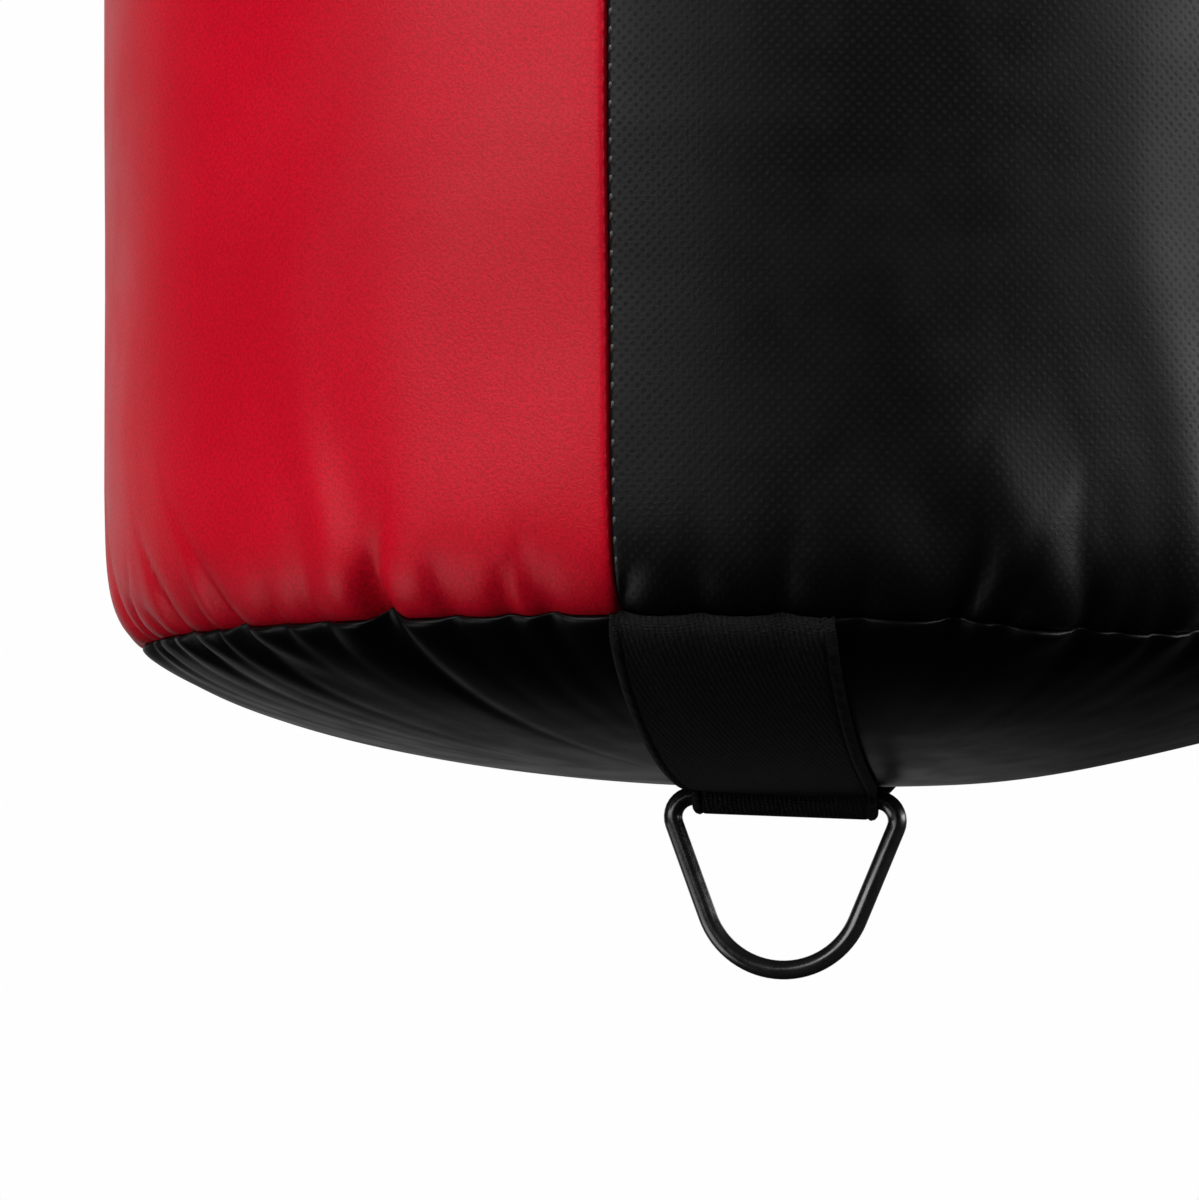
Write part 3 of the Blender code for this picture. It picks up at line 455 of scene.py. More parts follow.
def bottom_surface(turn, away):
    """Radius and height of the bottom panel at an angle and a distance from its rim."""
    along = turn * SEAM_RADIUS
    distance, radius, drop = dome_profile(DOME_DEPTH)
    rho, rho_next = np.interp(away, distance, radius), np.interp(away + 0.0005, distance, radius)
    fall, fall_next = np.interp(away, distance, drop), np.interp(away + 0.0005, distance, drop)
    run, rise = rho_next - rho, fall_next - fall
    size = np.hypot(run, rise) + 1e-12
    out_r, out_z = rise / size, run / size
    fade = np.clip(rho / 0.05, 0, 1) ** 2
    rim = side_fold(CREASES, SWELLS, along, 0 * away) * np.exp(-((away / 0.006) ** 1.2))
    own = hollows(RADIALS, along, away, 1.7, 1.0) * (1 - np.exp(-away / 0.004)) * fade
    inwards = rim + own
    stitches = (turn - math.radians(FIRST_SEAM_DEG)) / math.radians(PANEL_DEG) * PANEL_STEPS / 2
    inwards = inwards + RIM_DIMPLE[0] * stitch_pucker(stitches, away, RIM_DIMPLE[1])
    rho = rho - out_r * inwards - RIM_GAP[0] * np.exp(-away / RIM_GAP[1])
    shift = bottom_rim_shift(along) * np.exp(-away / 0.028)
    sag = bottom_sag(rho * np.sin(turn), -rho * np.cos(turn))
    return rho, BOTTOM_SEAM_Z - fall - out_z * inwards + shift - sag


def bottom_panel():
    length = dome_profile(DOME_DEPTH)[0][-1]
    near = np.array(EDGE_STEPS)
    middle = np.arange(near[-1] + GRID, 0.070, GRID)
    far = np.linspace(0.073, length - 0.0005, 24)
    away = np.concatenate([near, middle, far])[:, None]
    count = PANEL_STEPS * round(360 / PANEL_DEG)
    turn = (math.radians(FIRST_SEAM_DEG) + np.arange(count) / count * 2 * math.pi)[None, :]
    rho, z = bottom_surface(turn, away)
    turn = turn + 0 * away
    points = to_points(turn, rho, z)
    uvs = np.stack([rho * np.sin(turn), -rho * np.cos(turn)], axis=-1)
    panel = grid_object("bottom_panel_skin", points, uvs, cyclic=True)
    close_hole(panel)
    return panel


def close_hole(obj):
    """Fill the small hole at the middle of a polar grid."""
    shape = bmesh.new()
    shape.from_mesh(obj.data)
    rim = [e for e in shape.edges if e.is_boundary and
           math.hypot(*e.verts[0].co.xy) < 0.3 * SEAM_RADIUS]
    bmesh.ops.holes_fill(shape, edges=rim, sides=0)
    for face in shape.faces:
        face.smooth = True
    shape.to_mesh(obj.data)
    shape.free()


# ---- Materials ----
class Nodes:
    """A small builder for node trees."""

    def __init__(self, tree):
        self.tree = tree

    def new(self, kind, **settings):
        node = self.tree.nodes.new(kind)
        for key, value in settings.items():
            setattr(node, key, value)
        return node

    def link(self, source, target):
        self.tree.links.new(source, target)

    def feed(self, value, socket):
        if isinstance(value, bpy.types.NodeSocket):
            self.link(value, socket)
        else:
            socket.default_value = value

    def math(self, operation, first, second=0.0, third=0.0):
        node = self.new("ShaderNodeMath", operation=operation)
        for value, socket in zip((first, second, third), node.inputs):
            self.feed(value, socket)
        return node.outputs[0]

    def uv(self):
        node = self.new("ShaderNodeUVMap", uv_map="UVMap")
        split = self.new("ShaderNodeSeparateXYZ")
        self.link(node.outputs[0], split.inputs[0])
        return split.outputs[0], split.outputs[1]

    def position(self):
        return self.new("ShaderNodeTexCoord").outputs["Object"]

    def noise(self, vector, scale, detail=3.0, roughness=0.5):
        node = self.new("ShaderNodeTexNoise")
        self.link(vector, node.inputs["Vector"])
        node.inputs["Scale"].default_value = scale
        node.inputs["Detail"].default_value = detail
        node.inputs["Roughness"].default_value = roughness
        return node.outputs["Fac"]

    def spread(self, value, low, high, from_low=0.0, from_high=1.0):
        node = self.new("ShaderNodeMapRange", interpolation_type="SMOOTHSTEP")
        node.clamp = True
        self.feed(value, node.inputs["Value"])
        for key, number in (("From Min", from_low), ("From Max", from_high),
                            ("To Min", low), ("To Max", high)):
            node.inputs[key].default_value = number
        return node.outputs[0]

    def window(self, value, rise_from, rise_to, fall_from, fall_to):
        """1 inside a range, 0 outside it, with soft edges."""
        rise = self.spread(value, 0, 1, rise_from, rise_to)
        fall = self.spread(value, 1, 0, fall_from, fall_to)
        return self.math("MULTIPLY", rise, fall)

    def mix(self, factor, first, second):
        node = self.new("ShaderNodeMix", data_type="RGBA")
        self.feed(factor, node.inputs[0])
        self.feed(first, node.inputs[6])
        self.feed(second, node.inputs[7])
        return node.outputs[2]

    def bump(self, height, distance, strength=1.0, normal=None):
        node = self.new("ShaderNodeBump")
        node.inputs["Strength"].default_value = strength
        node.inputs["Distance"].default_value = distance
        self.feed(height, node.inputs["Height"])
        if normal:
            self.link(normal, node.inputs["Normal"])
        return node.outputs[0]


class Finish(Nodes):
    """A material under construction."""

    def __init__(self, name):
        self.material = bpy.data.materials.new(name)
        self.material.use_nodes = True
        super().__init__(self.material.node_tree)
        self.shader = self.tree.nodes["Principled BSDF"]

    def surface(self, **values):
        names = {"colour": "Base Color", "rough": "Roughness", "metal": "Metallic",
                 "normal": "Normal", "specular": "Specular IOR Level", "coat": "Coat Weight",
                 "coat_rough": "Coat Roughness"}
        for key, value in values.items():
            self.feed(value, self.shader.inputs[names[key]])
        return self.material


def shade(colour, factor):
    return tuple(c * factor for c in colour[:3]) + (1,)


def weave_dots(n, across, up):
    """Soft dots of a plain weave: 1 where a yarn dips, on a grid turned 45 degrees."""
    turned = n.math("ADD", across, up), n.math("SUBTRACT", across, up)
    waves = [n.math("SINE", n.math("MULTIPLY", value, math.pi / (2 * YARN))) for value in turned]
    return n.math("ABSOLUTE", n.math("MULTIPLY", *waves))


def red_vinyl():
    """Satin coated fabric: fine grain, a trace of the weave beneath, partly its own pattern and
    partly painted shade where the yarns dip, and slightly uneven dye.
    """
    n = Finish("red_vinyl")
    place = n.position()
    across, up = n.uv()
    patches = n.spread(n.noise(place, 16, 4), 0, 1, 0.35, 0.65)
    grain = n.spread(n.noise(place, 1500, 2, 0.8), 0, 1, 0.35, 0.65)
    dots = n.spread(weave_dots(n, across, up), 0, 1, 0.4, 1.0)
    colour = n.mix(patches, shade(COLOURS["red"], 0.95), shade(COLOURS["red"], 1.04))
    colour = n.mix(n.math("MULTIPLY", grain, 0.6), colour, shade(COLOURS["red"], 0.62))
    # Darker where the weave's yarns dip: partly the weave's own pattern, partly painted shade in the
    # dips.
    colour = n.mix(n.math("MULTIPLY", dots, 0.12), colour, shade(COLOURS["red"], 0.4))
    rough = n.spread(n.noise(place, 40, 4), 0.30, 0.38, 0.3, 0.7)
    normal = n.bump(grain, 0.00005, 0.5)
    return n.surface(colour=colour, rough=rough, normal=normal, specular=VINYL_SPECULAR)


def black_vinyl(name, dotted):
    """Coated fabric; the side panels show the woven base as a diagonal lattice of dots, partly the
    weave's own pattern and partly painted shade in its pits.
    """
    n = Finish(name)
    place = n.position()
    uneven = n.noise(place, 30, 4)
    colour = n.mix(uneven, shade(COLOURS["black"], 0.85), shade(COLOURS["black"], 1.15))
    rough = n.spread(n.noise(place, 60, 4), 0.33, 0.40, 0.3, 0.7)
    normal = n.bump(n.noise(place, 1500, 2, 0.8), 0.00008, 0.5)
    if dotted:
        across, up = n.uv()
        wobble = n.math("MULTIPLY", n.math("SUBTRACT", n.noise(place, 420, 2), 0.5), 0.0009)
        dots = weave_dots(n, n.math("ADD", across, wobble), n.math("ADD", up, wobble))
        clear = n.math("MULTIPLY", n.spread(n.noise(place, 14, 3), 0.55, 1, 0.35, 0.65),
                       n.spread(n.noise(place, 380, 2), 0.6, 1, 0.3, 0.7))
        pits = n.math("MULTIPLY", n.spread(dots, 0, 1, 0.35, 1.0), clear)
        # The pits' colour goes nearly black: partly the weave's own pattern, partly painted shade in
        # the hollows, beside their real bump and roughness.
        colour = n.mix(n.math("MULTIPLY", pits, 0.9), colour, shade(COLOURS["black"], 0.05))
        rough = n.math("ADD", rough, n.math("MULTIPLY", pits, 0.20))
        normal = n.bump(n.math("MULTIPLY", pits, -1.0), 0.00006, 0.5, normal)
    return n.surface(colour=colour, rough=rough, normal=normal, specular=VINYL_SPECULAR)


def webbing():
    """Matt woven nylon: fine slanted ribs with cross threads."""
    n = Finish("black_webbing")
    place = n.position()
    across, along = n.uv()
    slant = n.math("SUBTRACT", across, n.math("MULTIPLY", along, 0.14))
    jitter = n.math("MULTIPLY", n.noise(place, 700, 3), 0.0012)
    ribs = n.math("SINE", n.math("MULTIPLY", n.math("ADD", slant, jitter), 2 * math.pi / 0.0013))
    threads = n.math("SINE", n.math("MULTIPLY", along, 2 * math.pi / 0.0007))
    weave = n.math("ADD", n.math("MULTIPLY", ribs, 0.65), n.math("MULTIPLY", threads, 0.35))
    weave = n.math("MULTIPLY", n.spread(weave, 0, 1, -1, 1),
                   n.spread(n.noise(place, 1100, 3, 0.8), 0.05, 1, 0.35, 0.65))
    colour = n.mix(weave, shade(COLOURS["webbing"], 0.2), shade(COLOURS["webbing"], 2.2))
    normal = n.bump(weave, 0.0007, 0.9)
    normal = n.bump(n.noise(place, 2500, 2), 0.00012, 0.5, normal)
    return n.surface(colour=colour, rough=0.7, normal=normal, specular=0.3)


def paint():
    """Gloss black coating on the rings, a little uneven and rubbed."""
    n = Finish("black_steel")
    place = n.position()
    rub = n.spread(n.noise(place, 120, 5, 0.6), 0, 1, 0.58, 0.75)
    colour = n.mix(rub, COLOURS["paint"], (0.08, 0.08, 0.083, 1))
    rough = n.spread(n.noise(place, 220, 3), 0.2, 0.34, 0.3, 0.7)
    normal = n.bump(n.noise(place, 350, 3), 0.0002, 0.25)
    return n.surface(colour=colour, rough=rough, normal=normal, specular=1.0, coat=1.0,
                     coat_rough=0.12)


def zinc():
    """Bright zinc plate with fine streaks and dull spots."""
    n = Finish("zinc_steel")
    place = n.position()
    spots = n.noise(place, 180, 5, 0.6)
    colour = n.mix(n.spread(spots, 0, 1, 0.4, 0.7), COLOURS["zinc"], shade(COLOURS["zinc"], 0.72))
    rough = n.spread(spots, 0.2, 0.38, 0.3, 0.7)
    normal = n.bump(n.noise(place, 700, 3), 0.0001, 0.3)
    return n.surface(colour=colour, rough=rough, normal=normal, metal=1.0)


def simple_grain(name, colour, rough, scale, depth):
    """A plain material with grain for pieces inside the bag and small trim."""
    n = Finish(name)
    place = n.position()
    grain = n.noise(place, scale, 5, 0.6)
    mixed = n.mix(n.spread(grain, 0, 1, 0.3, 0.7), shade(colour, 0.7), shade(colour, 1.15))
    return n.surface(colour=mixed, rough=rough, normal=n.bump(grain, depth, 0.6))


def make_materials():
    return {
        "red_vinyl": red_vinyl(),
        "black_vinyl": black_vinyl("black_vinyl", True),
        "bottom_vinyl": black_vinyl("bottom_vinyl", False),
        "black_webbing": webbing(),
        "black_steel": paint(),
        "zinc_steel": zinc(),
        "black_zip": simple_grain("black_zip", (0.012, 0.012, 0.012, 1), 0.6, 900, 0.0002),
        "thread": simple_grain("thread", COLOURS["thread"], 0.55, 2500, 0.0001),
        # This thread's lighter grey is partly painted highlight on the stitches.
        "seam_thread_with_painted_highlight": simple_grain("seam_thread_with_painted_highlight", COLOURS["seam thread with painted highlight"], 0.45, 2500, 0.0001),
        "foam": simple_grain("foam", (0.62, 0.60, 0.52, 1), 0.95, 300, 0.001),
        "shredded_textile": simple_grain("shredded_textile", (0.3, 0.3, 0.32, 1), 0.95, 80, 0.004),
        "sand": simple_grain("sand", (0.5, 0.42, 0.3, 1), 0.95, 1500, 0.0005),
    }


MATERIALS = make_materials()


def dress(obj, finish, body, stands_for=()):
    """Give a piece its material and its body, and hide the CAD nodes that it stands for."""
    obj.data.materials.clear()
    obj.data.materials.append(MATERIALS[finish])
    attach(obj, body)
    if stands_for:
        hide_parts(*stands_for)
    return obj


# ---- Round wires ----
def arc(centre, radius, start_deg, end_deg, segments):
    angles = [math.radians(start_deg + (end_deg - start_deg) * i / segments)
              for i in range(segments + 1)]
    return [(centre[0] + radius * math.cos(a), centre[1] + radius * math.sin(a)) for a in angles]


def triangle_ring_points():
    corner = Vector((RING_HALF_WIDTH - RING_CORNER, -RING_CORNER))
    centre = Vector((0, RING_ARC - RING_DEPTH))
    reach = corner - centre
    lean = math.atan2(reach.y, reach.x) - math.acos((RING_ARC - RING_CORNER) / reach.length)
    lean = math.degrees(lean)
    right_corner = arc(corner, RING_CORNER, 90, lean, 10)
    round_end = arc(centre, RING_ARC, lean, -180 - lean, 32)
    left_corner = [(-x, y) for x, y in reversed(right_corner)]
    return right_corner + round_end + left_corner


def wire(name, points, radius, matrix, closed=True, resolution=6):
    """A round wire along points, as a mesh."""
    curve = bpy.data.curves.new(name, "CURVE")
    curve.dimensions = "3D"
    curve.bevel_depth = radius
    curve.bevel_resolution = resolution
    curve.use_fill_caps = not closed
    spline = curve.splines.new("POLY")
    spline.points.add(len(points) - 1)
    for point, place in zip(spline.points, points):
        point.co = (*Vector(place).to_3d(), 1)
    spline.use_cyclic_u = closed
    source = link(bpy.data.objects.new(name + "_curve", curve))
    graph = bpy.context.evaluated_depsgraph_get()
    mesh = bpy.data.meshes.new_from_object(source.evaluated_get(graph))
    bpy.data.objects.remove(source)
    shape = bmesh.new()
    shape.from_mesh(mesh)
    bmesh.ops.remove_doubles(shape, verts=shape.verts, dist=1e-6)
    shape.to_mesh(mesh)
    shape.free()
    mesh.shade_smooth()
    made = link(bpy.data.objects.new(name, mesh))
    made.matrix_world = matrix
    return made


def axes_matrix(origin, x_axis, y_axis):
    x_axis, y_axis = Vector(x_axis), Vector(y_axis)
    rows = Matrix((x_axis, y_axis, x_axis.cross(y_axis))).transposed()
    return Matrix.Translation(origin) @ rows.to_4x4()


# ---- Bottom strap ----
def strap_section(across, half):
    """Height of the webbing's outer face over its width: raised selvedges and rounded edges."""
    edge = half - np.abs(across)
    height = -0.00055 * np.exp(-edge / 0.00025)
    for rise, place, width in SELVEDGE:
        height += rise * np.exp(-(((edge - place) / width) ** 2))
    return height


def strap_columns(half):
    edge = np.array([0, 0.0002, 0.0005, 0.0009, 0.0014, 0.0020, 0.0025, 0.0029])
    middle = np.linspace(-half + 0.004, half - 0.004, 40)
    return np.concatenate([edge - half, middle, half - edge[::-1]])


def strap_on_dome(across, run, side):
    """One row of webbing on the bottom panel; its end follows the round seam."""
    bow = np.clip((run - 0.09) / (SEAM_RADIUS - 0.09), 0, 1) ** 2
    reach = run - bow * (SEAM_RADIUS - np.sqrt(SEAM_RADIUS ** 2 - across ** 2))
    rho = np.hypot(across, reach)
    rho, z = bottom_surface(np.arctan2(across, -side * reach), distance_from_rim(rho))
    tuck = 0.0014 * math.exp((run - SEAM_RADIUS) / 0.0010)
    reach = np.minimum(reach, np.sqrt(rho ** 2 - across ** 2) + 0.0008)
    return side * reach, z - STRAP_STAND_OFF + tuck


def bottom_strap():
    """Webbing over the bottom panel from seam to seam, dipping round the bottom ring's bar."""
    across = strap_columns(WEBBING_WIDTH / 2)
    profile = strap_section(across, WEBBING_WIDTH / 2)
    bar_z = RING_TOP - RING_WIRE
    radius = RING_WIRE + LOOP_THICKNESS + LOOP_SLACK
    tilt = -math.tan(LOOP_TILT) * across
    out = np.concatenate([np.linspace(radius, 0.012, 10)[:-1], np.linspace(0.012, 0.160, 90),
                          np.linspace(0.1605, SEAM_RADIUS, 12)])
    rows = []

    def add(y, z, normal, run=0):
        x = across * (1 - LOOP_PINCH * math.exp(-((run / 0.016) ** 2)))
        rows.append(np.stack([x, y + normal[0] * profile, z + normal[1] * profile], axis=-1))

    def sheet(run, side):
        y, z = strap_on_dome(across, run, side)
        add(y, z + tilt * math.exp(-run / 0.02), (0, -1), run)

    for run in out[::-1]:
        sheet(run, -1)
    for degrees in np.linspace(185, 355, 19):
        angle = math.radians(degrees)
        add(radius * math.cos(angle) + 0 * across, bar_z + radius * math.sin(angle) + tilt,
            (math.cos(angle), math.sin(angle)))
    for run in out:
        sheet(run, 1)
    return webbing_piece("bottom_strap_webbing", rows, across)


def distance_from_rim(rho):
    distance, radius, _ = dome_profile(DOME_DEPTH)
    return np.interp(-rho, -radius, distance)


def webbing_piece(name, rows, across):
    """A strap from its rows of points, with its length unrolled in the UVs."""
    points = np.array(rows)
    steps = np.linalg.norm(np.diff(points[:, len(across) // 2], axis=0), axis=-1)
    length = np.concatenate([[0], np.cumsum(steps)])[:, None]
    uvs = np.stack(np.broadcast_arrays(across[None, :], length), axis=-1)
    strap = grid_object(name, points, uvs)
    modifier = strap.modifiers.new("solidify", "SOLIDIFY")
    modifier.thickness = WEBBING_THICKNESS * 0.9
    modifier.offset = -1
    return strap


# ---- Top panels and zip ----
SLOT_ROWS = (0.0, 0.0005, 0.0012, 0.002, 0.003, 0.0042, 0.0052, 0.0056, 0.006, 0.0064, 0.0068,
             0.0076, 0.0086, 0.0092, 0.0098, 0.0106, 0.012)


def slot_edge(x):
    """Half width of the zip's slot at a place along it."""
    share = np.clip((ZIP_HALF_LENGTH + 0.0003 - np.abs(x)) / 0.004, 0, 1)
    return 0.0002 + (ZIP_SLOT / 2 - 0.0002) * share * share * (3 - 2 * share)


def hem(x, gap):
    """Height of the folded hem beside the slot, with its row of stitches."""
    near = np.clip((ZIP_HALF_LENGTH + 0.012 - np.abs(x)) / 0.004, 0, 1)
    double = HEM_THICKNESS / (1 + np.exp((gap - HEM_WIDTH) / 0.0004))
    double = double - 0.0006 * np.exp(-gap / 0.0006)
    row = np.exp(-(((gap - 0.006) / 0.0008) ** 2))
    stitched = 0.0007 * stitch_pucker(x / STITCH, 0, 1) * row
    return near * (double - stitched)


def top_panel(name, side):
    """Half of the bag's top, drawn in at the rim and hemmed along the zip's slot."""
    longest = SEAM_RADIUS - ZIP_SLOT / 2
    near = np.array(EDGE_STEPS)
    far = longest - np.array(SLOT_ROWS[::-1])
    rows = np.concatenate([near, np.arange(near[-1] + GRID, far[0], GRID * 1.4), far])
    share = (rows / longest)[:, None]
    turn = np.linspace(-math.pi / 2, math.pi / 2, 2 * PANEL_STEPS + 1)[None, :]
    x = SEAM_RADIUS * np.sin(turn) + 0 * share
    rim, inner = SEAM_RADIUS * np.cos(turn), slot_edge(SEAM_RADIUS * np.sin(turn))
    y = np.maximum(rim + (inner - rim) * share, np.minimum(rim, inner))
    rho = np.hypot(x, y)
    angle = np.arctan2(x, -side * y)
    away = np.clip(SEAM_RADIUS - rho, 0, None)
    along = angle * SEAM_RADIUS

    roll = np.clip((rho - TOP_FLAT_RADIUS) / (SEAM_RADIUS - TOP_FLAT_RADIUS), 0, 1)
    inwards = side_fold(TOP_CREASES, TOP_SWELLS, along, 0 * away)
    inwards = inwards * np.exp(-((away / 0.007) ** 1.2))
    inwards += 0.6 * hollows(TOP_CREASES, along, away, 1.6, 0.6) * (1 - np.exp(-away / 0.004))
    height = (TOP_Z - TOP_SEAM_Z) * np.sqrt(1 - roll ** 2) - (1 - roll) * inwards
    height -= rim_lift(TOP_CREASES, along) * np.exp(-away / 0.020)
    gap = y - inner
    depth, size = TOP_LUMPS
    bulge = depth * lumps(np.stack([x, y, 0 * x + side], axis=-1), size, TOP_LUMP_SEED)
    height += bulge * np.clip(gap / 0.03, 0, 1)
    height += hem(x, gap) - 0.0012
    drawn_in = roll * inwards + RIM_GAP[0] * np.exp(-away / RIM_GAP[1])
    shrink = 1 - drawn_in / np.maximum(rho, 0.01)
    points = np.stack([x * shrink, side * y * shrink, TOP_SEAM_Z + height], axis=-1)
    fold = points[-1:] - np.array([0, 0, 0.0010])
    points = np.concatenate([points, fold])
    panel = grid_object(name, points, points[..., :2])
    if side < 0:
        panel.data.flip_normals()
    return panel


def zip_tape():
    """The zip's woven tape, sunk a little along the middle."""
    x = np.linspace(-ZIP_HALF_LENGTH, ZIP_HALF_LENGTH, 180)[:, None]
    y = np.linspace(-TAPE_HALF_WIDTH, TAPE_HALF_WIDTH, 29)[None, :]
    z = TAPE_TOP - 0.0003 * np.exp(-((np.abs(y) - 0.0045) / 0.0008) ** 2) + 0 * x
    points = np.stack(np.broadcast_arrays(x, y, z), axis=-1)
    return grid_object("zip_track_skin", points, points[..., :2])


def add_block(shape, low, high, pinch):
    """A block whose top is drawn in by a share, without a bottom face."""
    low, high = Vector(low), Vector(high)
    middle = (low + high) / 2
    verts = []
    for z, scale in ((low.z, 1.0), (low.z * 0.35 + high.z * 0.65, 1.0), (high.z, pinch)):
        for x, y in ((low.x, low.y), (high.x, low.y), (high.x, high.y), (low.x, high.y)):
            spot = (middle.x + (x - middle.x) * scale, middle.y + (y - middle.y) * scale, z)
            verts.append(shape.verts.new(spot))
    for level in (0, 4):
        for i in range(4):
            following = (i + 1) % 4
            shape.faces.new([verts[level + i], verts[level + following],
                             verts[level + 4 + following], verts[level + 4 + i]])
    shape.faces.new(verts[8:])


def add_teeth(tape):
    """Interlocked teeth along the middle of the tape, and a stop at each end."""
    shape = bmesh.new()
    shape.from_mesh(tape.data)
    last = ZIP_HALF_LENGTH - 0.004
    foot = TAPE_TOP - 0.0004
    for i, x in enumerate(np.arange(-last, last, TOOTH_PITCH)):
        side = 1 if i % 2 else -1
        y = sorted((-side * TOOTH_OVERLAP, side * TOOTH_REACH))
        add_block(shape, (x - TOOTH_HALF_LENGTH, y[0], foot),
                  (x + TOOTH_HALF_LENGTH, y[1], TEETH_TOP), 0.72)
    for x in (-last - 0.002, last + 0.002):
        add_block(shape, (x - STOP_HALF_LENGTH, -0.0029, foot),
                  (x + STOP_HALF_LENGTH, 0.0029, TEETH_TOP), 0.8)
    shape.to_mesh(tape.data)
    shape.free()
    tape.data.shade_smooth()
    tape.data.set_sharp_from_angle(angle=math.radians(30))


# ---- Hanging straps, rings and chain legs ----
def leg_frame(number):
    """Where one chain leg runs: bar, tangent, ring axis, arc centre, direction and foot."""
    azimuth = math.radians(STRAP_AZIMUTHS_DEG[number])
    out = Vector((math.cos(azimuth), math.sin(azimuth), 0))
    bar = out * STRAP_BAR_RADIUS + Vector((0, 0, STRAP_BAR_Z))
    tangent = Vector((-out.y, out.x, 0))
    angle = math.radians(LEG_ANGLES_DEG[number])
    foot = Vector((math.sin(angle), 0, -math.cos(angle))) * MASTER_RADIUS + Vector((0, 0, MASTER_Z))
    along = (foot - bar).normalized()
    for _ in range(6):
        ring_axis = (along - tangent * along.dot(tangent)).normalized()
        arc_centre = bar + ring_axis * (RING_DEPTH - RING_ARC)
        along = (foot - arc_centre).normalized()
    return bar, tangent, ring_axis, arc_centre, along, foot


def link_points():
    """Centre line of a chain link, long along local Y."""
    half = LINK_LENGTH / 2 - LINK_HALF_WIDTH
    return (arc((0, half), LINK_HALF_WIDTH, 0, 180, 20)
            + arc((0, -half), LINK_HALF_WIDTH, 180, 360, 20))


def s_hook_points():
    """Centre line of an S-hook, its two ends on the local Y axis."""
    half = S_HOOK_LENGTH / 2 - S_HOOK_RADIUS
    slant = math.degrees(math.asin(S_HOOK_RADIUS / half))
    lower = arc((0, -half), S_HOOK_RADIUS, 160, 360 + slant, 30)
    return lower + [(-x, -y) for x, y in reversed(lower)]


def chain_leg(number):
    """Smooth wires for a leg's ring, S-hook and links."""
    bar, tangent, ring_axis, arc_centre, along, foot = leg_frame(number)
    name = STRAP_NAMES[number]
    ring = wire(f"hanging_ring_{name}_wire", triangle_ring_points(), RING_WIRE,
                axes_matrix(bar, tangent, -ring_axis))
    dress(ring, "black_steel", "bag", stands_for=[f"hanging_ring_{name}"])
    span = (foot - arc_centre).length
    laid_out = (RING_ARC - RING_WIRE + S_HOOK_LENGTH - 2 * LINK_WIRE - MASTER_WIRE
                + LINKS_PER_LEG * (LINK_LENGTH - 2 * LINK_WIRE))
    slack = (laid_out - span) / (LINKS_PER_LEG + 2)
    across = (tangent - along * tangent.dot(along)).normalized()
    at_ring = along.cross(Vector((1, 0, 0))).normalized()
    twist = math.atan2(along.dot(across.cross(at_ring)), across.dot(at_ring))
    twist = (twist + math.pi / 2) % math.pi - math.pi / 2
    step = twist / (LINKS_PER_LEG + 1)

    def placed(start, length, turn):
        width = Matrix.Rotation(turn, 3, along) @ across
        return axes_matrix(arc_centre + along * (start + length / 2), width, along)

    start = RING_ARC - RING_WIRE - LINK_WIRE - slack
    hook = wire(f"s_hook_{name}_wire", s_hook_points(), LINK_WIRE,
                placed(start, S_HOOK_LENGTH, math.pi / 2), closed=False)
    dress(hook, "zinc_steel", "bag", stands_for=[f"s_hook_{name}"])
    start += S_HOOK_LENGTH - 2 * LINK_WIRE - slack
    for i in range(LINKS_PER_LEG):
        turn = i * math.pi / 2 + (i + 1) * step
        node = f"chain_link_{name}_{i + 1}"
        made = wire(node + "_wire", link_points(), LINK_WIRE, placed(start, LINK_LENGTH, turn))
        dress(made, "zinc_steel", "bag", stands_for=[node])
        start += LINK_LENGTH - 2 * LINK_WIRE - slack


def rounded(points, times):
    """A line with its corners cut a number of times."""
    for _ in range(times):
        cut = [points[0]]
        for here, after in zip(points, points[1:]):
            cut += [here * 0.75 + after * 0.25, here * 0.25 + after * 0.75]
        points = cut + [points[-1]]
    return points


def strap_run(number):
    """Line of a hanging strap's middle, as radius and height, from its sewn end to the ring."""
    ring_axis = leg_frame(number)[2]
    lean = Vector((-math.hypot(ring_axis.x, ring_axis.y), ring_axis.z))
    bar = Vector((STRAP_BAR_RADIUS, STRAP_BAR_Z))
    side = BAG_RADIUS + BELLY + 0.0014
    bend_z = TOP_Z - STRAP_BEND_DROP
    bend = bar - lean * (bar.y - bend_z) / lean.y
    throat = bar - lean * (RING_WIRE + 0.0034)
    line = [Vector((side, TOP_Z - STRAP_SEWN_LENGTH)), Vector((side, TOP_Z - 0.09)),
            Vector((side - 0.0006, bend_z - 0.022)), Vector((side - 0.0026, bend_z - 0.008)),
            bend + lean * 0.006, throat]
    return rounded(line, 4), bar, lean


def strap_place(number, across, radius, z):
    """World points of a strap: it hugs the side at the bottom and is flat where it hangs free."""
    azimuth = math.radians(STRAP_AZIMUTHS_DEG[number])
    turn = azimuth + math.pi / 2 + across / BAG_RADIUS
    hug = np.clip((TOP_Z - 0.012 - z) / 0.030, 0, 1)
    hug = hug * hug * (3 - 2 * hug)
    low = z - BOTTOM_SEAM_Z
    lift = uneven(to_points(turn, side_radius(low), low)) * np.clip((TOP_Z - 0.02 - z) / 0.02, 0, 1)
    curved = (radius + lift) * np.cos(across / BAG_RADIUS)
    radial = hug * curved + (1 - hug) * radius
    out = np.array([math.cos(azimuth), math.sin(azimuth), 0])
    tangent = np.array([-math.sin(azimuth), math.cos(azimuth), 0])
    return radial[..., None] * out + across[..., None] * tangent + z[..., None] * np.array([0, 0, 1])


